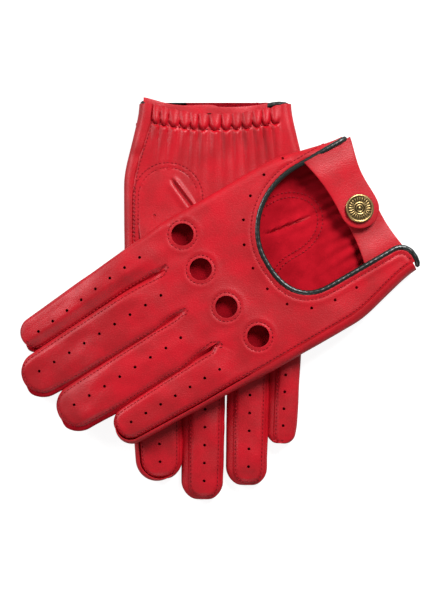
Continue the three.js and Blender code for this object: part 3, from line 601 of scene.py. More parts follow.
def fold_strip(kind, edge):
    """Half an ellipse carried along the edge line, with a short lip that reaches the other skin's
    seam.
    """
    way = np.gradient(edge[:, :2], axis=0)
    way /= np.linalg.norm(way, axis=1, keepdims=True)
    out = np.stack([way[:, 1], -way[:, 0]], -1) * (1 if kind == "back" else -1)
    u, v, w = edge.T
    far = back_level(u, v) - w
    left = np.cumsum(np.linalg.norm(np.diff(edge[::-1, :2], axis=0, prepend=edge[-1:, :2]), axis=1))[::-1]
    radius = (fold_at(u) - 0.1) * mix(0.05, 1, smooth(left / 18) ** 0.8)
    reach = (wrap_at(u) if kind == "back" else 0) + SEAM_GAP
    angle = np.linspace(0, np.pi, FOLD_COLUMNS)[:, None]
    seams = 0.35 * (bell(u - 96, 0.8) + bell(u - 106, 0.8)) if kind == "palm" else 0 * u
    puff = (radius - seams) * np.sin(angle) * (1 + 0.06 * noise(u[None] + 0 * angle, angle * 9, 12, 5, 41))
    height = (w + far) / 2 + (w - far) / 2 * np.cos(angle)
    strip = np.stack([u + out[:, 0] * puff, v + out[:, 1] * puff, height], -1)
    strip[0] = edge
    lip = np.stack([u - out[:, 0] * reach, v - out[:, 1] * reach, far], -1)
    return np.concatenate([strip, lip[None]]).transpose(1, 0, 2)


def skin_blocks(glove, kind):
    """The grids of one skin: the hand, four fingers with their tips, and the fold."""
    rows, columns = int(HAND_LENGTH / FINE), 4 * int(HAND_WIDTH / 4 / FINE)
    row = np.linspace(0, 1, rows)[:, None]
    column = np.linspace(0, 4, columns + 1)[None]
    hand = hand_skin(glove, kind, row, column)
    fingers = []
    t = np.linspace(-1, 1, columns // 4 + 1)[None]
    for k in range(4):
        finger = Finger(glove, kind, k)
        x = np.linspace(0, finger.flat, int(finger.flat / FINE))[:, None]
        tip = np.linspace(0, 1, int(10 / FINE))[1:, None]
        straight = finger.skin(x, t)
        straight[0] = hand[-1, k * (columns // 4) : (k + 1) * (columns // 4) + 1]
        grid = np.concatenate([straight, finger.skin(np.full_like(tip, finger.flat), t, tip)])
        fingers.append(grid)
    if kind == "back":
        edge = np.concatenate([hand[:, 0], fingers[0][1:, 0], fingers[0][-1, 1:-1]])
    else:
        edge = np.concatenate([hand[:, -1], fingers[3][1:, -1], fingers[3][-1, 1:-1][::-1]])
    strip = fold_strip(kind, edge)
    return [hand, *fingers, strip[:, ::-1] if kind == "back" else strip]


# %% [markdown]
# ## From grids to meshes
# All grids of a piece go into one array of points. Points that coincide are merged by rounding and
# sorting, and the faces are numbered again, so the sheet is one surface. Solidify gives it the
# leather's thickness.

# %% Mesh helpers
def grid_faces(rows, columns):
    """Four corners of each cell of a grid, numbered row by row."""
    a = (np.arange(rows - 1)[:, None] * columns + np.arange(columns - 1)).ravel()
    return np.stack([a, a + columns, a + columns + 1, a + 1], -1)


def joined(blocks):
    """Points and faces of several grids, with shared points merged and collapsed faces left out."""
    points, faces, start = [], [], 0
    for block in blocks:
        points.append(block.reshape(-1, 3))
        faces.append(grid_faces(*block.shape[:2]) + start)
        start += block.shape[0] * block.shape[1]
    points, faces = np.concatenate(points), np.concatenate(faces)
    _, first, number = np.unique(points.round(4), axis=0, return_index=True, return_inverse=True)
    return points[first], number.reshape(-1)[faces]


def without_repeats(faces):
    """Each face's corners with neighbouring repeats dropped, so that a pole's cells become triangles."""
    after = np.roll(faces, -1, axis=1)
    keep = faces != after
    sizes = keep.sum(1)
    whole = sizes >= 3
    return faces[whole][keep[whole]], sizes[whole]


def new_piece(name, points, faces, smooth_angle=50):
    """A mesh object from whole arrays of points and of faces with up to four corners."""
    mesh = bpy.data.meshes.new(name)
    mesh.vertices.add(len(points))
    mesh.vertices.foreach_set("co", points.astype(np.float32).ravel())
    corners, sizes = without_repeats(np.asarray(faces))
    mesh.loops.add(len(corners))
    mesh.loops.foreach_set("vertex_index", corners.astype(np.int32))
    mesh.polygons.add(len(sizes))
    mesh.polygons.foreach_set("loop_start", (np.cumsum(sizes) - sizes).astype(np.int32))
    mesh.update(calc_edges=True)
    mesh.validate()
    mesh.shade_smooth()
    mesh.set_sharp_from_angle(angle=math.radians(smooth_angle))
    piece = bpy.data.objects.new(name, mesh)
    scene.collection.objects.link(piece)
    return piece


def paint(piece, *materials):
    for material in materials:
        piece.data.materials.append(material)


def apply_modifiers(piece):
    """Replaces the piece's mesh by what its modifiers make of it."""
    graph = bpy.context.evaluated_depsgraph_get()
    made = bpy.data.meshes.new_from_object(piece.evaluated_get(graph))
    piece.modifiers.clear()
    piece.data = made
    made.set_sharp_from_angle(angle=math.radians(50))


def turn_outwards(piece):
    """Points all faces out of a closed mesh."""
    work = bmesh.new()
    work.from_mesh(piece.data)
    bmesh.ops.remove_doubles(work, verts=work.verts, dist=1e-6)
    bmesh.ops.recalc_face_normals(work, faces=work.faces)
    work.to_mesh(piece.data)
    work.free()


def thicken(piece, thickness, offset=-1):
    """Gives a sheet its thickness; its inside and its cut edges take the piece's second and third
    material.
    """
    solid = piece.modifiers.new("thickness", "SOLIDIFY")
    solid.thickness = thickness * MM
    solid.offset = offset
    solid.material_offset = 1
    solid.material_offset_rim = 2
    apply_modifiers(piece)


def tubes_mesh(name, rings):
    """Closed tubes for cutting: rings is (count, 2, segments, 3), a low and a high ring for each
    tube.
    """
    count, _, segments, _ = rings.shape
    points = rings.reshape(-1, 3)
    around = np.arange(segments)
    after = (around + 1) % segments
    wall = np.stack([around, after, after + segments, around + segments], -1)
    start = np.arange(count)[:, None, None] * 2 * segments
    walls = (wall[None] + start).reshape(-1, 4)
    low = [(around[::-1] + i * 2 * segments).tolist() for i in range(count)]
    high = [(around + segments + i * 2 * segments).tolist() for i in range(count)]
    mesh = bpy.data.meshes.new(name)
    mesh.from_pydata(points.tolist(), [], walls.tolist() + low + high)
    tool = bpy.data.objects.new(name, mesh)
    scene.collection.objects.link(tool)
    return tool


def cut(piece, tool):
    """Takes the tool's closed shapes out of the piece, then throws the tool away."""
    before = len(piece.data.polygons)
    paint(tool, *piece.data.materials)
    tool.data.polygons.foreach_set("material_index", np.full(len(tool.data.polygons), 2, np.int32))
    boolean = piece.modifiers.new("cut", "BOOLEAN")
    boolean.operation = "DIFFERENCE"
    boolean.solver = "MANIFOLD"
    boolean.object = tool
    apply_modifiers(piece)
    mesh = tool.data
    bpy.data.objects.remove(tool)
    bpy.data.meshes.remove(mesh)
    print(piece.name, "faces before and after cutting", before, len(piece.data.polygons))


# %% [markdown]
# ## Colour and surface
# Grain, suede nap and patina are node groups that only put out colours, masks and heights. Each
# material feeds them to its own Principled shader. Coordinates are the object's own, in metres, so
# scales are per metre.

# %% Node helpers
def node_group(name, inputs, outputs):
    """An empty shader group with named float inputs (with defaults) and named outputs."""
    group = bpy.data.node_groups.new(name, "ShaderNodeTree")
    for label, value in inputs.items():
        kind = "NodeSocketVector" if label == "Place" else "NodeSocketFloat"
        socket = group.interface.new_socket(label, in_out="INPUT", socket_type=kind)
        if value is not None:
            socket.default_value = value
    for label in outputs:
        group.interface.new_socket(label, in_out="OUTPUT", socket_type="NodeSocketFloat")
    return group, group.nodes.new("NodeGroupInput"), group.nodes.new("NodeGroupOutput")


def math_node(tree, operation, a, b):
    node = tree.nodes.new("ShaderNodeMath")
    node.operation = operation
    for socket, value in zip(node.inputs, (a, b)):
        if isinstance(value, bpy.types.NodeSocket):
            tree.links.new(value, socket)
        else:
            socket.default_value = value
    return node.outputs[0]


def noise_node(tree, place, scale, detail=3.0, rough=0.55):
    node = tree.nodes.new("ShaderNodeTexNoise")
    node.inputs["Detail"].default_value = detail
    node.inputs["Roughness"].default_value = rough
    node.inputs["Scale"].default_value = scale
    tree.links.new(place, node.inputs["Vector"])
    return node.outputs["Fac"]


def ramp_node(tree, value, low, high):
    node = tree.nodes.new("ShaderNodeMapRange")
    node.interpolation_type = "SMOOTHSTEP"
    tree.links.new(value, node.inputs["Value"])
    node.inputs["From Min"].default_value = low
    node.inputs["From Max"].default_value = high
    return node.outputs["Result"]


# %% [markdown]
# Leather grain is a pattern of small pebbles with fine creases between them. Cells give the
# pebbles, a fine noise roughens them, and a slow noise decides where the hide is darker.

# %% Leather grain group
def weighed(tree, a, share_a, b, share_b):
    """The sum of two values, each times its share."""
    first = math_node(tree, "MULTIPLY", a, share_a)
    return math_node(tree, "ADD", first, math_node(tree, "MULTIPLY", b, share_b))


def grain_group():
    inputs = {"Place": None, "Pebbles per metre": 1500.0}
    group, start, end = node_group("leather grain", inputs, ("Height", "Tone"))
    place = start.outputs["Place"]
    pebble = group.nodes.new("ShaderNodeTexVoronoi")
    pebble.inputs["Randomness"].default_value = 0.95
    group.links.new(place, pebble.inputs["Vector"])
    group.links.new(start.outputs["Pebbles per metre"], pebble.inputs["Scale"])
    crease = ramp_node(group, pebble.outputs["Distance"], 0.75, 0.15)
    fine = noise_node(group, place, 3200.0, 2.0)
    slow = noise_node(group, place, 70.0, 4.0)
    group.links.new(weighed(group, crease, 0.7, fine, 0.3), end.inputs["Height"])
    group.links.new(weighed(group, slow, 0.9, crease, 0.1), end.inputs["Tone"])
    return group


# %% Suede nap group
def nap_group():
    group, start, end = node_group("suede nap", {"Place": None}, ("Height", "Tone"))
    place = start.outputs["Place"]
    fibre = noise_node(group, place, 2600.0, 4.0, 0.7)
    brushed = noise_node(group, place, 110.0, 3.0)
    group.links.new(fibre, end.inputs["Height"])
    group.links.new(weighed(group, fibre, 0.45, brushed, 0.55), end.inputs["Tone"])
    return group


GRAIN = grain_group()
NAP = nap_group()


# %% [markdown]
# A material is a Principled shader with two colours mixed by its group's tone, a roughness that
# follows the same tone, and a bump from the group's height. The same function makes leather, suede,
# binding and cut edge.

# %% Materials from a group
TONE_SPAN = (0.3, 0.7)  # the tones between which dark turns to light


def surface(name, group, dark, light, roughness, bump, height_mm, specular, sheen=0.0, pebbles=None):
    """Roughness goes from dark to light too; bump is its strength and height_mm its full height."""
    material = bpy.data.materials.new(name)
    material.use_nodes = True
    tree = material.node_tree
    shader = tree.nodes["Principled BSDF"]
    place = tree.nodes.new("ShaderNodeTexCoord").outputs["Object"]
    look = tree.nodes.new("ShaderNodeGroup")
    look.node_tree = group
    tree.links.new(place, look.inputs["Place"])
    if pebbles:
        look.inputs["Pebbles per metre"].default_value = pebbles
    blend = tree.nodes.new("ShaderNodeMix")
    blend.data_type = "RGBA"
    blend.inputs["A"].default_value = (*dark, 1)
    blend.inputs["B"].default_value = (*light, 1)
    tone = ramp_node(tree, look.outputs["Tone"], *TONE_SPAN)
    tree.links.new(tone, blend.inputs["Factor"])
    tree.links.new(blend.outputs["Result"], shader.inputs["Base Color"])
    rough = tree.nodes.new("ShaderNodeMapRange")
    tree.links.new(tone, rough.inputs["Value"])
    rough.inputs["To Min"].default_value = roughness[0]
    rough.inputs["To Max"].default_value = roughness[1]
    tree.links.new(rough.outputs["Result"], shader.inputs["Roughness"])
    relief = tree.nodes.new("ShaderNodeBump")
    relief.inputs["Strength"].default_value = bump
    relief.inputs["Distance"].default_value = height_mm * MM
    tree.links.new(look.outputs["Height"], relief.inputs["Height"])
    tree.links.new(relief.outputs["Normal"], shader.inputs["Normal"])
    shader.inputs["Sheen Weight"].default_value = sheen
    shader.inputs["Sheen Roughness"].default_value = 0.5
    shader.inputs["Sheen Tint"].default_value = (*light, 1)
    shader.inputs["Specular IOR Level"].default_value = specular
    return material


LEATHER_SKIN = surface(
    "red_leather", GRAIN, (0.33, 0.001, 0.006), (0.46, 0.002, 0.011), (0.52, 0.42), 0.55, 0.11,
    specular=0.38,
)
SUEDE = surface(
    "red_suede", NAP, (0.26, 0.001, 0.006), (0.42, 0.003, 0.012), (0.95, 0.85), 0.7, 0.16,
    specular=0.1, sheen=0.04,
)
CUT_EDGE = surface(
    "cut_edge", NAP, (0.42, 0.010, 0.016), (0.62, 0.020, 0.032), (0.9, 0.8), 0.6, 0.1, specular=0.2,
)
THREAD = surface(
    "red_thread", NAP, (0.18, 0.001, 0.005), (0.36, 0.003, 0.012), (0.7, 0.6), 0.8, 0.05, specular=0.2,
)
BINDING = surface(
    "black_binding", GRAIN, (0.003, 0.005, 0.0045), (0.009, 0.013, 0.011), (0.4, 0.28), 0.4, 0.06,
    specular=0.6, pebbles=1900.0,
)


# %% [markdown]
# Antique brass is dark in its hollows and bright where it has been rubbed. A shader doesn't know
# how far a point stands proud, so the mesh stores that as its wear, and noise breaks up the edge of
# the worn metal.

# %% Brass and elastic
def brass_material():
    group, start, end = node_group("brass patina", {"Place": None, "Wear": 0.5}, ("Mask", "Height"))
    place = start.outputs["Place"]
    blotch = noise_node(group, place, 900.0, 5.0, 0.65)
    scratch = noise_node(group, place, 5200.0, 3.0)
    worn = math_node(group, "ADD", start.outputs["Wear"], math_node(group, "MULTIPLY", blotch, 0.5))
    group.links.new(ramp_node(group, worn, 0.35, 1.05), end.inputs["Mask"])
    group.links.new(weighed(group, blotch, 1.0, scratch, 0.6), end.inputs["Height"])
    material = bpy.data.materials.new("antique_brass")
    material.use_nodes = True
    tree = material.node_tree
    shader = tree.nodes["Principled BSDF"]
    look = tree.nodes.new("ShaderNodeGroup")
    look.node_tree = group
    tree.links.new(tree.nodes.new("ShaderNodeTexCoord").outputs["Object"], look.inputs["Place"])
    wear = tree.nodes.new("ShaderNodeAttribute")
    wear.attribute_name = "wear"
    tree.links.new(wear.outputs["Fac"], look.inputs["Wear"])
    blend = tree.nodes.new("ShaderNodeMix")
    blend.data_type = "RGBA"
    blend.inputs["A"].default_value = (0.035, 0.024, 0.010, 1)
    blend.inputs["B"].default_value = (0.40, 0.27, 0.11, 1)
    tree.links.new(look.outputs["Mask"], blend.inputs["Factor"])
    tree.links.new(blend.outputs["Result"], shader.inputs["Base Color"])
    shader.inputs["Metallic"].default_value = 0.95
    shader.inputs["Roughness"].default_value = 0.36
    relief = tree.nodes.new("ShaderNodeBump")
    relief.inputs["Strength"].default_value = 0.35
    relief.inputs["Distance"].default_value = 0.04 * MM
    tree.links.new(look.outputs["Height"], relief.inputs["Height"])
    tree.links.new(relief.outputs["Normal"], shader.inputs["Normal"])
    return material


BRASS = brass_material()
ELASTIC = surface(
    "woven_elastic", NAP, (0.22, 0.01, 0.015), (0.42, 0.02, 0.03), (0.9, 0.8), 0.8, 0.2, specular=0.2,
)
SKIN_MATERIALS = (LEATHER_SKIN, SUEDE, CUT_EDGE)
print("materials", [m.name for m in bpy.data.materials])

# %% [markdown]
# ## The four skins
# Every skin is laid out, thickened, and then cut: the keyhole and the knuckle holes through the
# backs, and the rows of small perforations. The cutters are closed tubes; all the perforations of a
# skin share one mesh, and a back is cut again for its knuckle holes and once more for its keyhole.

# %% Perforations
PERFORATION_RADIUS = 0.78
FINGER_PERFORATIONS = ((8, 9.4), (9, 9.4), (8, 9.4), (7, 8.9))  # how many on each finger, and their pitch
PALM_PERFORATIONS = ((56.7, -24.7), (57.8, -8.7))
THUMB_PERFORATION = (59.9, -31.8)


def finger_perforations(glove, kind):
    """A row down the middle of each finger, evenly spaced, a little way past the crotch to near the
    tip.
    """
    places = []
    for k, (count, pitch) in enumerate(FINGER_PERFORATIONS):
        finger = Finger(glove, kind, k)
        x = finger.length - 11.5 - pitch * np.arange(count)
        aside = np.full(count, -0.13 if kind == "back" and k in (1, 2) else 0.0)
        if kind == "back" and k == 0:
            aside = mix(-0.1, -0.36, smooth((finger.length - x) / 80))
        u, v, _ = finger.plan(x, aside)
        places.append(np.stack([u, v], -1))
    return np.concatenate(places)


def keyhole_perforations():
    """Holes on the line 7.6 mm outside the piping's, starting near the cuff on the index side."""
    line = keyhole_line(7.6)
    line = line[(line[:, 0] > 20) & (np.abs(line[:, 1]) < 46.5)]
    points, _ = spaced(line, 12.8)
    return points[1:-1]


def hole_tubes(glove, outlines, kind, reach=(-2.6, 2.4)):
    """Outlines (count, segments, 2) on the plan to a low and a high ring each, through that skin
    only.
    """
    u, v = outlines[..., 0], outlines[..., 1]
    tubes = []
    for shift in reach:
        level = back_level(u, v) + shift if kind == "back" else 0 * u - shift
        tubes.append(lay(glove, np.stack([u, v, level], -1), lowest=BELOW))
    return np.stack(tubes, 1)


def circles(centres, radius, segments=12):
    angle = np.linspace(0, 2 * np.pi, segments, endpoint=False)
    ring = radius * np.stack([np.cos(angle), np.sin(angle)], -1)
    return np.asarray(centres, float)[:, None] + ring[None]


# %% Make the skins
def turn_sheet(piece, up):
    """Turns an open sheet so that most of its area faces up, or down."""
    work = bmesh.new()
    work.from_mesh(piece.data)
    bmesh.ops.recalc_face_normals(work, faces=work.faces)
    facing = sum(face.normal.z * face.calc_area() for face in work.faces)
    if (facing > 0) != up:
        bmesh.ops.reverse_faces(work, faces=work.faces)
    work.to_mesh(piece.data)
    work.free()


def make_skin(hand, kind):
    glove = GLOVES[hand]
    points, faces = joined(skin_blocks(glove, kind))
    piece = new_piece(f"{hand}_{kind}_skin", lay(glove, points), faces)
    paint(piece, *SKIN_MATERIALS)
    turn_sheet(piece, (kind == "back") != glove["palm_up"])
    thicken(piece, LEATHER)
    holes = circles(finger_perforations(glove, kind), PERFORATION_RADIUS)
    if kind == "back":
        holes = np.concatenate([holes, circles(keyhole_perforations(), PERFORATION_RADIUS)])
    elif hand == "left":
        holes = np.concatenate([holes, circles(PALM_PERFORATIONS, PERFORATION_RADIUS)])
    cut(piece, tubes_mesh("perforations", hole_tubes(glove, holes, kind)))
    if kind == "back":
        knuckles = circles([(u, share * HAND_WIDTH) for u, share in KNUCKLES], KNUCKLE_RADIUS, 72)
        cut(piece, tubes_mesh("knuckles", hole_tubes(glove, knuckles, kind)))
        line = keyhole_line(0.4)
        outline = np.concatenate([line, [[-9, line[-1, 1]], [-9, line[0, 1]]]])
        cut(piece, tubes_mesh("keyhole", hole_tubes(glove, outline[None], kind, (-4.5, 9.0))))
    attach(piece, f"{hand}_glove")
    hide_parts(f"{hand}_{kind}_panel")
    return piece


skins = {(hand, kind): make_skin(hand, kind) for hand in GLOVES for kind in ("back", "palm")}

# %% [markdown]
# ## Fourchettes
# A fourchette is the narrow strip between two fingers. It leaves one fingertip, runs down the side
# to the crotch and up the next finger. Across, it bulges out between the back seam and the palm
# seam.

# %% Make the fourchettes
STRIP_COLUMNS = 9
SIDE_STATIONS = 70


def half_edge(glove, kind, k, sign):
    """A finger's edge from the middle of its tip down one side to the crotch."""
    finger = Finger(glove, kind, k)
    t = np.linspace(0.0, sign, 12)
    front = finger.skin(np.full(12, finger.flat), t, np.ones(12))
    tip = np.linspace(1, 0, 8)[1:-1]
    corner = finger.skin(np.full(6, finger.flat), np.full(6, float(sign)), tip)
    x = np.linspace(finger.flat, 0, SIDE_STATIONS)
    side = finger.skin(x, np.full(len(x), float(sign)), np.zeros(len(x)))
    return np.concatenate([front, corner, side])


def make_fourchette(hand, k):
    glove = GLOVES[hand]
    edges = {}
    for kind in ("back", "palm"):
        down, up = half_edge(glove, kind, k, 1), half_edge(glove, kind, k + 1, -1)[::-1]
        edges[kind] = np.concatenate([down, up[1:]])
    back, palm = edges["back"], edges["palm"]
    middle = (back + palm)[:, :2] / 2
    way = np.gradient(middle, axis=0)
    way /= np.linalg.norm(way, axis=1, keepdims=True) + 1e-9
    out = np.stack([way[:, 1], -way[:, 0]], -1)
    s = np.linspace(0, 1, STRIP_COLUMNS)[None, :, None]
    strip = back[:, None] * (1 - s) + palm[:, None] * s
    crease = 0.12 * noise(middle[:, :1], s[..., 0] * 6, 5, 3, 61 + k)
    less, more = glove["back_inset"]
    reach = np.concatenate([np.full(len(down), more), np.full(len(up) - 1, less)])[:, None]
    bulge = (reach + 0.35 + crease)[..., None] * np.sin(np.pi * s) ** 0.7 - 0.2
    place = np.arange(len(back))
    at_crotch = np.abs(place - (len(down) - 1))
    at_end = np.minimum(place, len(back) - 1 - place)
    fade = smooth(at_crotch / 6.0) * smooth(at_end / 9.0)
    strip[..., :2] += out[:, None] * bulge * fade[:, None, None]
    points, faces = joined([strip])
    piece = new_piece(f"{hand}_fourchette_{FINGERS[k]}_{FINGERS[k + 1]}_strip", lay(glove, points), faces)
    paint(piece, *SKIN_MATERIALS)
    thicken(piece, 0.7, offset=0)
    turn_outwards(piece)
    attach(piece, f"{hand}_glove")
    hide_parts(f"{hand}_fourchette_{FINGERS[k]}_{FINGERS[k + 1]}")
    return piece


fourchettes = [make_fourchette(hand, k) for hand in GLOVES for k in range(3)]
print("fourchettes", len(fourchettes))

# %% [markdown]
# ## Piping, strap and snap
# The piping is a tube carried along the keyhole line. Its height follows the skin, and its ends
# curl down round the cuff.

# %% Make the piping
def tube(points, radius, segments=14):
    """Rings round a line of points: each ring's plane is square to the line, and the ends close to a
    point.
    """
    way = np.gradient(points, axis=0)
    way /= np.linalg.norm(way, axis=1, keepdims=True)
    side = np.cross(way, [0.0, 0.0, 1.0])
    side /= np.linalg.norm(side, axis=1, keepdims=True)
    up = np.cross(side, way)
    angle = np.linspace(0, 2 * np.pi, segments + 1)
    radius = np.broadcast_to(radius, len(points))[:, None, None]
    ring = side[:, None] * np.cos(angle)[:, None] + up[:, None] * np.sin(angle)[:, None]
    return points[:, None] + radius * ring


PIPING_PITCH = 0.9
PIPING_RADIUS = 1.4


def make_piping(hand):
    glove = GLOVES[hand]
    line, _ = spaced(keyhole_line(0.1, 80), PIPING_PITCH)
    u, v = line.T
    u = u + glove["tuck"] * smooth((v - 24) / 6) * smooth((20 - u) / 10)
    w = back_level(u, v) - 1.35 + 1.1 * glove["proud"] + 0.1 * noise(u, v, 5, 5, 71)
    along = np.arange(len(line)) * PIPING_PITCH
    last = along[-1]
    w = w - 1.8 * smooth((along - last + 5) / 5) - 1.5 * smooth((4 - along) / 4)
    radius = PIPING_RADIUS * np.sqrt(np.clip(np.minimum(along, last - along) / 1.2, 0.0, 1.0))
    wrinkle = 1 + 0.05 * np.sin(along * 2.1 + 3 * noise(along, 0 * along, 9, 1, 72))
    centre = lay(glove, np.stack([u, v, w], -1))
    points, faces = joined([tube(centre / MM, radius * wrinkle)])
    piece = new_piece(f"{hand}_piping_tube", points * MM, faces)
    paint(piece, BINDING)
    turn_outwards(piece)
    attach(piece, f"{hand}_glove")
    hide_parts(f"{hand}_keyhole_piping")
    return piece


pipings = {hand: make_piping(hand) for hand in GLOVES}


# %% [markdown]
# The strap tab and its anchor are flat shapes with rounded edges. Each is filled from its outline
# towards a spine, ring inside ring, with a height that rises quickly at the edge: a filled outline
# with a soft rim.

# %% Filled outlines
def filled(outline, spine, height, rings, power=3.0):
    """Rings from the outline in to the spine; the height rises as a rounded edge. Outline and spine
    match.
    """
    s = np.linspace(0, 1, rings) ** 1.8
    flat = outline[None] + (spine - outline)[None] * s[:, None, None]
    rise = (1 - (1 - s) ** power) ** (1 / power)
    w = np.broadcast_to(rise[:, None] * height, flat.shape[:2])
    return np.concatenate([flat, w[..., None]], -1)


STRAP_ROOTS = (-37.8, 27.4)  # across the glove, where the tab and the anchor are sewn in
CAP_HEIGHT = 1.35
CLEAR = 0.35  # between the layers of the snap
STRAP_LAYER = 0.8
SOCKET_AND_STUD = (1.5, 0.5)  # heights


def strap_outline(kind):
    """Two edges that meet in a half circle round the snap, listed from the root and back to it."""
    index_root, little_root = STRAP_ROOTS
    if kind == "tab":
        radius = 10.4
        straight = np.linspace(0, 1, 26)[:, None]
        far_root, far_end = [25.2, index_root], [SNAP[0] + radius, SNAP[1]]
        near_root, near_end = [-2.8, index_root], [SNAP[0] - radius, SNAP[1]]
        far = mix(np.array(far_root), np.array(far_end), straight)
        far[:, 0] -= 1.6 * np.sin(np.pi * straight[:, 0])
        near = mix(np.array(near_root), np.array(near_end), straight)
        near[:, 0] += 2.0 * np.sin(np.pi * straight[:, 0]) ** 1.5
        angle = np.linspace(np.pi / 2, -np.pi / 2, 40)[1:-1]
        end = np.array(SNAP) + radius * np.stack([np.sin(angle), np.cos(angle)], -1)
        return np.concatenate([far, end, near[::-1]])
    radius = 9.4
    straight = np.linspace(0, 1, 20)[:, None]
    near = mix(np.array([0.6, little_root]), np.array([SNAP[0] - radius, SNAP[1]]), straight)
    near[:, 0] += 1.2 * np.sin(np.pi * straight[:, 0])
    far = mix(np.array([24.6, little_root]), np.array([SNAP[0] + radius, SNAP[1]]), straight)
    far[:, 0] -= 1.2 * np.sin(np.pi * straight[:, 0])
    angle = np.linspace(-np.pi / 2, np.pi / 2, 40)[1:-1]
    end = np.array(SNAP) + radius * np.stack([np.sin(angle), -np.cos(angle)], -1)
    return np.concatenate([near, end, far[::-1]])


def layers(hand):
    """Heights of the snap's layers on the plan, counted down from the top of its cap."""
    top = back_level(*SNAP) + GLOVES[hand]["cap_proud"]
    tab = top - CAP_HEIGHT - CLEAR
    anchor = tab - STRAP_LAYER - sum(SOCKET_AND_STUD) - 3 * CLEAR
    return dict(top=top, cap_under=top - CAP_HEIGHT, tab=tab, anchor=anchor)


def bend_at_root(piece):
    """A tab is leather that bends; here its placement is only baked into its mesh, and it is neither bent
    nor attached to the glove.
    """
    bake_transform(piece)


def make_strap(hand, kind):
    """The tab's top carries a raised rim; a low ripple keeps it from looking like card."""
    glove = GLOVES[hand]
    outline = strap_outline(kind)
    index_root, little_root = STRAP_ROOTS
    reach = (index_root, SNAP[1]) if kind == "tab" else (SNAP[1], little_root)
    spine_v = np.clip(outline[:, 1], *reach)
    spine = np.stack([(outline[:, 0] + outline[::-1, 0]) / 2, (spine_v + spine_v[::-1]) / 2], -1)
    level = layers(hand)[kind]
    thick = 1.25 if kind == "tab" else 1.0
    top = filled(outline, spine, thick / 2, 14)
    under = filled(outline, spine, -thick / 2, 14)
    for sheet in (top, under):
        u, v = sheet[..., 0].copy(), sheet[..., 1].copy()
        sheet[..., 2] += level - 0.45 + 0.12 * noise(u, v, 9, 9, 81)
        if kind == "tab":
            root = smooth((v + 38) / 12)
            sheet[..., 2] += mix(-0.5, 0, root) + 0.5 * bell(v + 26, 6)
        else:
            sheet[..., 2] += mix(0, 1.4, smooth((v - 8) / 14))
    closed = [np.concatenate([sheet, sheet[:, :1]], 1) for sheet in (top, under)]
    points, faces = joined(closed)
    piece = new_piece(f"{hand}_strap_{kind}_leather", lay_stiff(glove, points), faces, 35)
    paint(piece, *SKIN_MATERIALS)
    turn_outwards(piece)
    if kind == "tab":
        bend_at_root(piece)
    else:
        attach(piece, f"{hand}_glove")
    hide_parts(f"{hand}_strap_{kind}")
    return piece


straps = {(hand, kind): make_strap(hand, kind) for hand in GLOVES for kind in ("tab", "anchor")}


# %% [markdown]
# The snap's cap is one profile turned about its axis: rings round the middle, a
# band of short rays and a rolled rim. The rays are a ripple of the profile's height with the angle.

# %% Make the caps
CAP_TURNS = 216
CAP_RAYS = 24
CAP_RAY_RADIUS = 4.7
CAP_PROFILE = np.array([  # radius in millimetres, and height as a share of the cap's
    (0.0, 0.78), (0.7, 0.77), (1.0, 0.62), (1.3, 0.6), (1.5, 0.78), (1.9, 0.8), (2.2, 0.64),
    (2.5, 0.62), (2.8, 0.86), (3.2, 0.88), (3.4, 0.7), (3.7, 0.72), (4.1, 0.74), (4.5, 0.75),
    (4.9, 0.75), (5.3, 0.74), (5.7, 0.72), (6.0, 0.7), (6.2, 0.72), (6.4, 0.92), (6.8, 1.0),
    (7.2, 0.92), (7.45, 0.7), (7.5, 0.45), (7.4, 0.15), (7.0, 0.0), (0.0, 0.0),
])


def make_cap(hand):
    glove = GLOVES[hand]
    level = layers(hand)
    base, top = level["cap_under"], level["top"]
    r, h = CAP_PROFILE.T
    angle = np.linspace(0, 2 * np.pi, CAP_TURNS + 1)[None]
    ray = smooth(0.5 + 1.1 * np.cos(CAP_RAYS * angle))
    height = (h[:, None] + (0.17 * ray - 0.08) * bell(r - CAP_RAY_RADIUS, 0.95)[:, None]) * (top - base)
    across = r[:, None] * np.stack([np.cos(angle), np.sin(angle)])
    place = np.stack([SNAP[0] + across[0], SNAP[1] + across[1], base + height], -1)
    points, faces = joined([place])
    piece = new_piece(f"{hand}_cap_shell", lay_stiff(glove, points), faces, 60)
    wear = piece.data.attributes.new("wear", "FLOAT", "POINT")
    rise = (points[:, 2] - base) / (top - base)
    wear.data.foreach_set("value", np.clip((rise - 0.5) * 1.7, 0, 1).astype(np.float32))
    paint(piece, BRASS)
    turn_outwards(piece)
    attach(piece, f"{hand}_strap")
    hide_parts(f"{hand}_snap_cap")
    return piece


caps = {hand: make_cap(hand) for hand in GLOVES}

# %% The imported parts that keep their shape
for hand in GLOVES:
    finishes = [(f"snap_{part}", BRASS, "brass") for part in ("socket", "stud", "post")]
    finishes += [(f"knuckle_facing_{finger}", SUEDE, "lining") for finger in FINGERS]
    for name, material, slot in finishes:
        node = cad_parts[f"{hand}_{name}"]
        node.data.materials.clear()
        paint(node, material)

# %% [markdown]
# ## Thumbs
# Each thumb is a flat pouch. Its base is level with the palm along the arch, where it is sewn in,
# and it fills out towards the tip. Outline rings again run in to a spine along the thumb's own
# axis.

# %% Make the thumbs
THUMB_HEIGHT = 3.2


def thumb_side(glove):
    """Half of the thumb's outline, from the middle of the arch up to the tip, beside the thumb's own
    axis.
    """
    arch, half = glove["arch"][0] - 1.3, glove["arch"][1] - 1.3
    angle = np.linspace(0, np.pi / 2, 70)
    base = np.stack([-arch * np.cos(angle), half * np.sin(angle)], -1)
    tip_at = THUMB_LENGTH - THUMB_TUBE_HALF
    run = np.linspace(0, 1, 90)[1:-1]
    side = np.stack([run * tip_at, mix(half, THUMB_TUBE_HALF, smooth(run * 1.4))], -1)
    turn = np.linspace(0, np.pi / 2, 20)
    tip = np.stack([tip_at + THUMB_TUBE_HALF * np.sin(turn), THUMB_TUBE_HALF * np.cos(turn)], -1)
    return np.concatenate([base, side, tip])


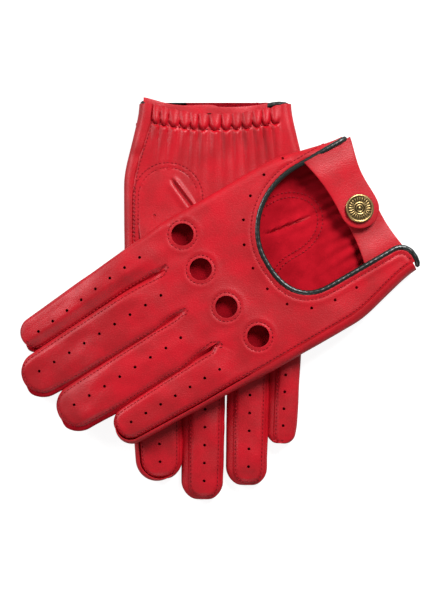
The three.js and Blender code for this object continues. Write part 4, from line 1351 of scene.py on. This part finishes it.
def make_thumb(hand):
    glove = GLOVES[hand]
    right = thumb_side(glove)
    outline = np.concatenate([right, right[::-1][1:] * [1, -1]])
    spine = np.stack([np.clip(outline[:, 0], -6, THUMB_LENGTH - THUMB_TUBE_HALF), 0 * outline[:, 1]], -1)
    sheets = []
    for sign in (1, -1):
        sheet = filled(outline, spine, 1.0, 36, 2.2)
        a, b, rise = sheet[..., 0], sheet[..., 1], sheet[..., 2]
        fill = smooth((a - 4) / 34)
        u, v = thumb_plan(glove, a, b)
        rough = 0.3 * noise(a, b, 11, 8, 91) + 0.1 * noise(a, b, 5, 4, 92)
        row = distance_to(arch_line(glove, ARCH_ROW), u, v)
        top = 0.45 + THUMB_HEIGHT * fill + 0.4 * rough
        top += 2.2 * dart(glove, u, v) - 0.25 * bell(row, 0.5)
        under = mix(-0.5, 0.35, fill)
        w = -mix(under, top, 0.5 + 0.5 * sign * rise)
        low_edge = mix(0.35, 0.0, fill) * (1 - rise)
        sheets.append(np.stack([u, v, w + low_edge], -1))
    points, faces = joined([np.concatenate([sheet, sheet[:, :1]], 1) for sheet in sheets])
    piece = new_piece(f"{hand}_thumb_pouch", lay(glove, points), faces)
    paint(piece, *SKIN_MATERIALS)
    turn_outwards(piece)
    if hand == "right":
        holes = circles([THUMB_PERFORATION], PERFORATION_RADIUS)
        cut(piece, tubes_mesh("thumb perforation", hole_tubes(glove, holes, "palm", (-2.0, 6.0))))
    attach(piece, f"{hand}_glove")
    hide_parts(f"{hand}_thumb")
    return piece


thumbs = {hand: make_thumb(hand) for hand in GLOVES}


# %% [markdown]
# The elastic is a band on the inside of the palm. It follows the same gathers as the leather, so it
# lies in the pinch under the puffs.

# %% Make the wrist elastics
def make_elastic(hand):
    glove = GLOVES[hand]
    v = np.linspace(-29, 29, 160)[None]
    across = np.linspace(-2.5, 2.5, 9)[:, None]
    u = hem_edge("palm", v) + HEM_DEPTH + across
    w = -palm_relief(glove, u, v) + LEATHER + 0.45 + 0.12 * np.cos(v * 2 * np.pi / 1.6)
    points, faces = joined([np.stack(np.broadcast_arrays(u, v, w), -1)])
    piece = new_piece(f"{hand}_elastic_band", lay(glove, points), faces)
    paint(piece, ELASTIC)
    thicken(piece, 0.6, offset=0)
    turn_outwards(piece)
    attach(piece, f"{hand}_glove")
    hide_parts(f"{hand}_wrist_elastic")
    return piece


elastics = {hand: make_elastic(hand) for hand in GLOVES}

# %% [markdown]
# ## Stitches
# A stitch is a short capsule pressed a little way into the leather. Rows are lines on the plan;
# each stitch is dropped onto the finished skin with a ray, which gives its place and the skin's own
# direction there.

# %% One stitch, many places
STITCH_PITCH = 2.1
STITCH_LENGTH = 1.5
STITCH_RADIUS = 0.3


def capsule(segments=6):
    """A unit capsule along x: two poles and three rings, as points and triangles."""
    along = np.array([-0.86, 0.0, 0.86])
    radius = np.array([0.8, 1.0, 0.8])
    angle = np.linspace(0, 2 * np.pi, segments, endpoint=False)
    y, z = np.outer(radius, np.cos(angle)).ravel(), np.outer(radius, np.sin(angle)).ravel()
    rings = np.stack([np.repeat(along, segments), y, z], -1)
    points = np.concatenate([rings, [[-1, 0, 0], [1, 0, 0]]])
    i = np.arange(segments)
    j = (i + 1) % segments
    first_pole = 0 * i + 3 * segments
    walls = [np.stack([i + r, j + r, j + r + segments, i + r + segments], -1) for r in (0, segments)]
    low = np.stack([j, i, first_pole, first_pole], -1)
    high = np.stack([i + 2 * segments, j + 2 * segments, first_pole + 1, first_pole + 1], -1)
    return points, np.concatenate([*walls, low, high])


def dropped(piece, places, way):
    """Where rays along the given direction meet the piece, with the surface's own normal."""
    found = [piece.ray_cast(place.tolist(), way) for place in places]
    hit = np.array([f[0] for f in found])
    return hit, np.array([f[1] for f in found]), np.array([f[2] for f in found])


def stitches(name, body, rows, piece, glove, kind, inner=False):
    """Rows of stitches on the plan, dropped on a piece from outside (or from the inside of the
    glove).
    """
    outside_up = (kind == "back") != glove["palm_up"]
    from_above = outside_up != inner
    places, aims = [], []
    for row in rows:
        line, way = spaced(np.asarray(row, float), STITCH_PITCH)
        for shift, store in ((0, places), (0.5, aims)):
            at = line + way * shift
            level = back_level(*at.T) if kind == "back" else 0 * at[:, 0]
            store.append(lay(glove, np.concatenate([at, level[:, None]], -1), lowest=BELOW))
    places, aims = np.concatenate(places), np.concatenate(aims)
    start = places + [0, 0, (2.2 if inner else 5) * MM * (1 if from_above else -1)]
    hit, ground, normal = dropped(piece, start, (0, 0, -1 if from_above else 1))
    ground, normal, way = ground[hit], normal[hit], (aims - places)[hit]
    way -= normal * (way * normal).sum(-1, keepdims=True)
    way /= np.linalg.norm(way, axis=1, keepdims=True)
    side = np.cross(normal, way)
    unit, faces = capsule()
    size = np.array([STITCH_LENGTH / 2, STITCH_RADIUS, STITCH_RADIUS]) * MM
    axes = np.stack([way, side, normal], 1)
    points = np.einsum("pc,scd->spd", unit * size, axes) + (ground + normal * 0.06 * MM)[:, None]
    count = len(ground)
    faces = (faces[None] + len(unit) * np.arange(count)[:, None, None]).reshape(-1, 4)
    made = new_piece(name, points.reshape(-1, 3), faces, 80)
    paint(made, THREAD)
    turn_outwards(made)
    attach(made, body)
    print(name, "stitches", count, "missed", int((~hit).sum()))


# %% Rows on the skins
SLIT_END = np.array([[-0.6, -1.8], [-2.0, -0.7], [-2.0, 0.7], [-0.6, 1.8]])  # round the end of a slit


def finger_rows(glove, kind):
    """One row round each finger, 1.5 mm inside its edge, open at the root; the folded side has none."""
    rows = []
    for k in range(4):
        finger = Finger(glove, kind, k)
        folded = finger.outer if finger.folded else 0
        x = np.linspace(1.5, finger.flat, 60)
        inside = 1 - SEAM_ROW / finger.half(x)
        top = 1 - SEAM_ROW / finger.half(finger.flat)
        sides = {}
        for sign in (-1, 1):
            u, v, _ = finger.plan(x, sign * inside)
            sides[sign] = np.stack([u, v], -1)
        corner = np.linspace(0, top, 16)
        t = np.concatenate([np.full(16, -top), np.linspace(-top, top, 30)[1:-1], np.full(16, top)])
        tip = np.concatenate([corner, np.full(28, top), corner[::-1]])
        u, v, _ = finger.plan(np.full(len(t), finger.flat), t, tip)
        over = np.stack([u, v], -1)
        if k:
            u0, v0 = crotch(root_lines(glove)[k]), root_lines(glove)[k]
            rows.append(np.array([u0, v0]) + SLIT_END)
        near, far = sides[-1][:-1], sides[1][::-1][1:]
        rows += {-1: [over[30:], far], 0: [near, over, far], 1: [near, over[:30]]}[folded]
    return [np.concatenate(rows)]


def back_rows(glove):
    rows = finger_rows(glove, "back") + [keyhole_line(PIPING_ROW)]
    for place, share in KNUCKLES:
        ring = circles([(place, share * HAND_WIDTH)], KNUCKLE_ROW, 60)[0]
        rows.append(np.concatenate([ring, ring[:1]]))
    u = np.linspace(4, 110, 80)
    edge = skin_edges("back", u)[1]
    rows.append(np.stack([u, edge - SEAM_ROW], -1))
    return rows


def palm_rows(glove):
    rows = finger_rows(glove, "palm")
    rows += [arch_line(glove, 0)] if glove["palm_up"] else [arch_line(glove, 0), arch_line(glove, ARCH_ROW)]
    u = np.linspace(9, 108, 80)
    edge = skin_edges("palm", u)[0]
    rows.append(np.stack([u, edge + SEAM_ROW], -1))
    v = np.linspace(-33, 33, 80)
    rows.append(np.stack([hem_edge("palm", v) + HEM_DEPTH, v], -1))
    return rows


for hand, glove in GLOVES.items():
    stitches(f"{hand}_back_stitches", f"{hand}_glove", back_rows(glove), skins[hand, "back"], glove, "back")
    stitches(f"{hand}_palm_stitches", f"{hand}_glove", palm_rows(glove), skins[hand, "palm"], glove, "palm")
    inner = [arch_line(glove, ARCH_ROW)]
    stitches(f"{hand}_thumb_stitches", f"{hand}_glove", inner, thumbs[hand], glove, "palm")
    arches = [arch_line(glove, 0), arch_line(glove, ARCH_ROW)]
    stitches(
        f"{hand}_arch_stitches_inside", f"{hand}_glove", arches, skins[hand, "palm"], glove, "palm", True,
    )

# %% [markdown]
# ## Room, light and camera
# A pale floor, a soft key light beyond the pair on the right, a second light on the left and a weak
# one in front. The camera looks straight down from far away, so the pair is seen almost without
# perspective.

# %% Stage
def stage():
    bpy.ops.mesh.primitive_plane_add(size=6, location=(0, 0, -0.0002))
    floor = bpy.context.object
    floor.name = "floor"
    white = bpy.data.materials.new("white_floor")
    white.use_nodes = True
    shader = white.node_tree.nodes["Principled BSDF"]
    shader.inputs["Base Color"].default_value = (0.3, 0.3, 0.3, 1)
    shader.inputs["Roughness"].default_value = 1.0
    shader.inputs["Specular IOR Level"].default_value = 0.0
    shader.inputs["Emission Color"].default_value = (1, 1, 1, 1)
    seen = white.node_tree.nodes.new("ShaderNodeLightPath").outputs["Is Camera Ray"]
    glow = math_node(white.node_tree, "MULTIPLY", seen, 0.72)
    strength = math_node(white.node_tree, "ADD", glow, 0.16)
    white.node_tree.links.new(strength, shader.inputs["Emission Strength"])
    floor.data.materials.append(white)
    floor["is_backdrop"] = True


def area_light(name, place, size, power):
    """A round lamp that points at the origin."""
    light = bpy.data.lights.new(name, "AREA")
    light.shape = "DISK"
    light.size = size
    light.energy = power
    lamp = bpy.data.objects.new(name, light)
    lamp.location = place
    way = -np.array(place)
    flat = math.hypot(way[0], way[1])
    lamp.rotation_euler = (math.atan2(flat, -way[2]), 0, math.atan2(way[1], way[0]) - math.pi / 2)
    scene.collection.objects.link(lamp)


stage()
area_light("key", (0.42, 0.62, 0.6), 0.4, 14)
area_light("side", (-0.95, 0.45, 0.6), 0.5, 9)
area_light("low", (-0.1, -1.2, 0.75), 0.7, 3.5)
world = bpy.data.worlds.new("pale room")
scene.world = world
world.use_nodes = True
world.node_tree.nodes["Background"].inputs["Color"].default_value = (1, 1, 1, 1)
world.node_tree.nodes["Background"].inputs["Strength"].default_value = 0.17
scene.view_settings.view_transform = "Standard"

CAMERA_HEIGHT = 1.15
VIEW_HEIGHT = 0.3136  # how much of the table the picture's height covers
SENSOR = 36
PAIR_MIDDLE = 0.012  # height over the table
camera = bpy.data.cameras.new("camera")
camera.sensor_fit = "VERTICAL"
camera.sensor_height = SENSOR
camera.lens = SENSOR * (CAMERA_HEIGHT - PAIR_MIDDLE) / VIEW_HEIGHT
eye = bpy.data.objects.new("camera", camera)
eye.location = (0.00016, -0.00009, CAMERA_HEIGHT)
scene.collection.objects.link(eye)
scene.camera = eye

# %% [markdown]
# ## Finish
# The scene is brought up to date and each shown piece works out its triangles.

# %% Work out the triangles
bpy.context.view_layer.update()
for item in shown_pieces():
    item.data.calc_loop_triangles()
